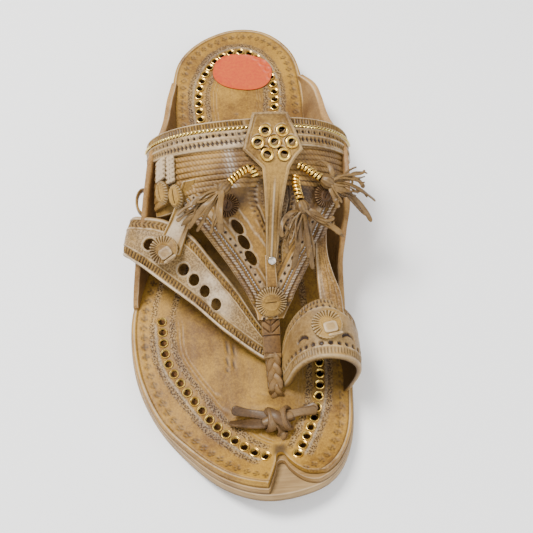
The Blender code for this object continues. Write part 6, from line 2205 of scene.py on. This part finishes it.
class Tassel:
    """Wound brass coil with a gathered leather head and strips that fan out and fall."""

    coil_radius: float = 2.1 * MM
    head_radius: float = 2.7 * MM
    head_reach: float = 3.6 * MM

    def __init__(self, last: LastForm, name: str, coil: Table, strips: Sequence[Strip]) -> None:
        """Works out the coil's line and where the head starts."""
        self.last, self.name, self.coil_rows, self.strips = last, name, coil, strips
        dense = curve_through(coil, 161)
        x, y = last.sole.size(dense[:, :2]).T
        self.line = last.point(x, y, dense[:, 2] * STRAP_THICKNESS + self.coil_radius)
        self.axis = unit(self.line[-1] - self.line[-9])
        self.head = self.line[-1] + self.axis * (self.head_reach + 0.15 * MM)

    def coil(self, pitch: float = 1.75 * MM, wire: float = 0.58 * MM) -> Shell:
        """The coil: wire wound round the line, (cos t, sin t) times the winding radius, over a dark core of
        painted shade.
        """
        line = even(self.line, 600)
        run = lengths(line)
        step = unit(np.gradient(line, axis=0))
        side = unit(np.cross(step, (0.0, 0.0, 1.0)))
        up = np.cross(side, step)
        turn = 2 * math.pi * run / pitch
        winding = self.coil_radius - wire
        path = line + winding * (side * np.cos(turn)[:, None] + up * np.sin(turn)[:, None])
        wound = sweep_shell(path, wire * 1.15, wire, step, 8)
        wound.masks = {}
        core = sweep_shell(line[::6], winding * 0.95, winding * 0.95, side[0], 12)
        # The core is dark all over: painted shade inside the coil.
        core.masks = {Mask.PIT.value: np.ones(len(core.points))}
        return Shell.joined([wound, core])

    def gathered_head(self) -> Shell:
        """Bunched head: a drop round the axis, folded lengthwise, that flares towards the strips."""
        share = np.linspace(0, 1, 34)
        radius = self.head_radius * (0.62 + 0.6 * np.sin(math.pi * np.clip(share * 1.1, 0, 1)) ** 0.8)
        radius[share > 0.9] *= 0.85
        start = self.line[-1] + self.axis * 0.3 * MM
        path = start + self.axis * 2 * self.head_reach * share[:, None]
        segments = 40
        shell = sweep_shell(path, radius, radius * 0.85, np.array([1.0, 0.0, 0.0]), segments)
        rings = shell.points.reshape(-1, segments, 3)
        fold = 0.5 + 0.5 * np.cos(11 * np.linspace(0, 2 * math.pi, segments, endpoint=False))
        middle = rings.mean(1, keepdims=True)
        rings = middle + (rings - middle) * (1 - 0.10 * (1 - fold))[None, :, None]
        shell.points = rings.reshape(-1, 3)
        # Painted shade in the valleys of the folds.
        shell.masks[Mask.PIT.value] = np.tile(0.55 * (1 - fold), len(rings))
        return shell

    def thin(self, number: int, strip: Strip) -> Strip:
        """Narrower strip beside another, a little shorter, that curls more at its tip."""
        lean = 9.0 if number % 2 else -8.0
        curl = (70.0, -95.0, 130.0, -60.0)[number % 4]
        return Strip(
            strip.heading + lean, 0.86 * strip.length, strip.turn + lean, 0.9 * strip.rise, 0.5, curl
        )

    def strip(self, number: float, strip: Strip) -> Shell:
        """One strip: it leaves the head along its heading, turns by its turn and falls by its rise.

        The path's step at share t is (cos, sin) of heading + turn t + curl t^4, and the height gains
        rise t^1.6 and a bulge sin(pi t). The strip twists a little and thins to a blunt tip.
        """
        count = 48
        share = np.linspace(0, 1, count)
        angle = np.radians(strip.heading + strip.turn * share + strip.curl * share**4)
        length = strip.length * self.last.sole.length
        step = np.stack([np.cos(angle), np.sin(angle), 0 * angle], axis=1) * length / (count - 1)
        fall = np.vstack([np.zeros((1, 3)), np.cumsum(0.5 * (step[1:] + step[:-1]), axis=0)])
        path = self.head + self.axis * self.head_reach / 3 + fall
        bulge = 1.6 * MM * math.cos(2.3 * number) * np.sin(math.pi * share)
        lift = 0.22 * MM * (number - 3)
        path[:, 2] += strip.rise * self.last.sole.length * share**1.6 + bulge + lift
        path[:, 2] += 0.35 * MM * np.sin(9 * share + 1.7 * number) * share
        path[:, 2] += 1.6 * MM * abs(strip.curl) / 180 * share**6
        twist = 0.7 * math.sin(1.9 * number + 0.4) * share + 0.5 * np.sin(9 * share + number)
        flat = np.stack([-np.sin(angle), np.cos(angle), 0 * angle], axis=1)
        side = flat * np.cos(twist)[:, None] + np.array([0, 0, 1.0]) * np.sin(twist)[:, None]
        width = 1.15 * MM * strip.width * (0.9 + 0.15 * np.sin(6 * share + number))
        width = width * np.clip((1.02 - share) * 20, 0.3, 1) * (0.6 + 0.4 * ease(share * 6))
        sides = 14
        ribbon = sweep_shell(path, width, 0.42 * MM * (1 - 0.2 * share), side, sides, 3.6)
        edge = np.abs(np.linspace(-1, 1, sides, endpoint=False))
        # Painted shade of a fold down the middle of each face of the strip.
        fold = 0.35 * stroke(edge - 0.5, 0.05, 0.15)
        ribbon.masks[Mask.PIT.value] = np.tile(fold, len(ribbon.points) // sides)
        return ribbon

    def build(self) -> None:
        """Makes the coil and the tassel."""
        self.coil().piece(f"{self.name}_winding", BRASS, f"{self.name}_coil")
        shells = [self.gathered_head()]
        shells += [self.strip(number, strip) for number, strip in enumerate(self.strips)]
        shells += [
            self.strip(number + 0.5, self.thin(number, strip)) for number, strip in enumerate(self.strips)
        ]
        Shell.joined(shells).piece(f"{self.name}_fringe", FRINGE, self.name)


TASSELS = (
    (
        "tassel_outer",
        ((0.122, 0.205, 1.55), (0.095, 0.216, 1.82), (0.038, 0.206, 2.82), (0.010, 0.198, 3.45)),
        (
            Strip(197, 0.084, 12, -0.014, 1.3), Strip(204, 0.088, 6, -0.020, 1.3),
            Strip(212, 0.082, 2, -0.026, 1.0),
            Strip(188, 0.056, 36, -0.002, 0.7), Strip(208, 0.084, 6, -0.034, 1.0),
            Strip(220, 0.080, 4, -0.028, 1.1),
            Strip(234, 0.072, -8, -0.038, 0.9), Strip(247, 0.070, 8, -0.030, 1.0),
            Strip(262, 0.070, 4, -0.026, 1.3),
        ),
    ),
    (
        "tassel_inner_rear",
        ((0.303, 0.219, 1.18), (0.324, 0.216, 1.64), (0.357, 0.206, 2.55), (0.374, 0.202, 3.00)),
        (
            Strip(58, 0.060, 110, 0.012, 1.0, 60), Strip(70, 0.078, -150, -0.010, 0.9),
            Strip(20, 0.078, 18, -0.040, 0.8),
            Strip(4, 0.082, -22, -0.050, 0.9), Strip(-10, 0.086, -48, -0.058, 1.1),
            Strip(-50, 0.058, 84, -0.026, 1.2, 30), Strip(-66, 0.054, 104, -0.034, 1.2, 30),
            Strip(-90, 0.046, 40, -0.014, 1.3, -60),
            Strip(34, 0.070, -70, -0.012, 0.6, 120), Strip(12, 0.076, 60, -0.022, 0.6, -110),
        ),
    ),
    (
        "tassel_inner_front",
        ((0.288, 0.203, 1.18), (0.283, 0.193, 1.82), (0.283, 0.181, 2.82), (0.290, 0.169, 3.36)),
        (
            Strip(172, 0.070, 110, -0.006, 1.1), Strip(212, 0.078, 60, -0.022, 1.0),
            Strip(256, 0.088, -6, -0.046, 1.3), Strip(268, 0.084, 14, -0.054, 1.1),
            Strip(282, 0.072, -24, -0.036, 0.9), Strip(312, 0.076, 34, -0.030, 0.9),
            Strip(330, 0.070, -6, -0.022, 1.7), Strip(196, 0.062, 100, -0.018, 0.6, -90),
            Strip(300, 0.066, 70, -0.020, 0.6, 100),
        ),
    ),
)
"""Name, coil and strips of each tassel. Coil columns: across / ball width, along / length, lift / strap."""


class Studio:
    """Pale floor, soft lights and the camera."""

    def __init__(self, view: PhotoView) -> None:
        """Keeps the camera's view."""
        self.view = view

    def build(self) -> None:
        """Makes the floor, the lights and the camera."""
        self.view.build()
        floor = self.floor()
        lights = [
            self.light("key", (-0.45, 0.35, 1.05), 0.40, 25.0, (1.0, 0.97, 0.91)),
            self.light("fill", (0.75, -0.45, 0.80), 0.9, 8.0, (1.0, 0.98, 0.94)),
            self.light("front", (-0.2, -0.9, 0.7), 0.9, 4.0, (1.0, 1.0, 1.0)),
        ]
        world = bpy.data.worlds.new("pale_room")
        world.use_nodes = True
        world.node_tree.nodes["Background"].inputs["Color"].default_value = (1.0, 0.985, 0.95, 1.0)
        world.node_tree.nodes["Background"].inputs["Strength"].default_value = 0.75
        bpy.context.scene.world = world

    def floor(self) -> bpy.types.Object:
        """Pale matt floor."""
        mesh = bpy.data.meshes.new("floor")
        reach = 3.0
        corners = [(-reach, -reach, 0), (reach, -reach, 0), (reach, reach, 0), (-reach, reach, 0)]
        mesh.from_pydata(corners, [], [(0, 1, 2, 3)])
        floor = bpy.data.objects.new("floor", mesh)
        bpy.context.scene.collection.objects.link(floor)
        paint = bpy.data.materials.new("floor_paper")
        paint.use_nodes = True
        shader = paint.node_tree.nodes["Principled BSDF"]
        shader.inputs["Base Color"].default_value = (0.92, 0.94, 0.98, 1.0)
        shader.inputs["Roughness"].default_value = 0.9
        mesh.materials.append(paint)
        return floor

    def light(
        self, name: str, place: Sequence[float], size: float, power: float, colour: Sequence[float]
    ) -> bpy.types.Object:
        """Square soft light that faces the sandal."""
        lamp = bpy.data.lights.new(name, "AREA")
        lamp.size = size
        lamp.energy = power
        lamp.color = colour
        thing = bpy.data.objects.new(name, lamp)
        thing.location = place
        aim = Vector(self.view.target) - Vector(place)
        thing.rotation_euler = aim.to_track_quat("-Z", "Y").to_euler()
        bpy.context.scene.collection.objects.link(thing)
        return thing


def main() -> None:
    """Builds the sandal and its studio."""
    logging.basicConfig(level=logging.INFO, format="%(name)s %(message)s")
    form = SoleForm()
    sole = Sole(form)
    sole.build()
    Footbed(sole).build()
    last = LastForm(form)
    upper = Upper(form, last)
    upper.build()
    Ornament(last).build()
    Trim(upper).build()
    for name, coil, strips in TASSELS:
        Tassel(last, name, coil, strips).build()
    Studio(PhotoView()).build()


if __name__ == "__main__":
    main()
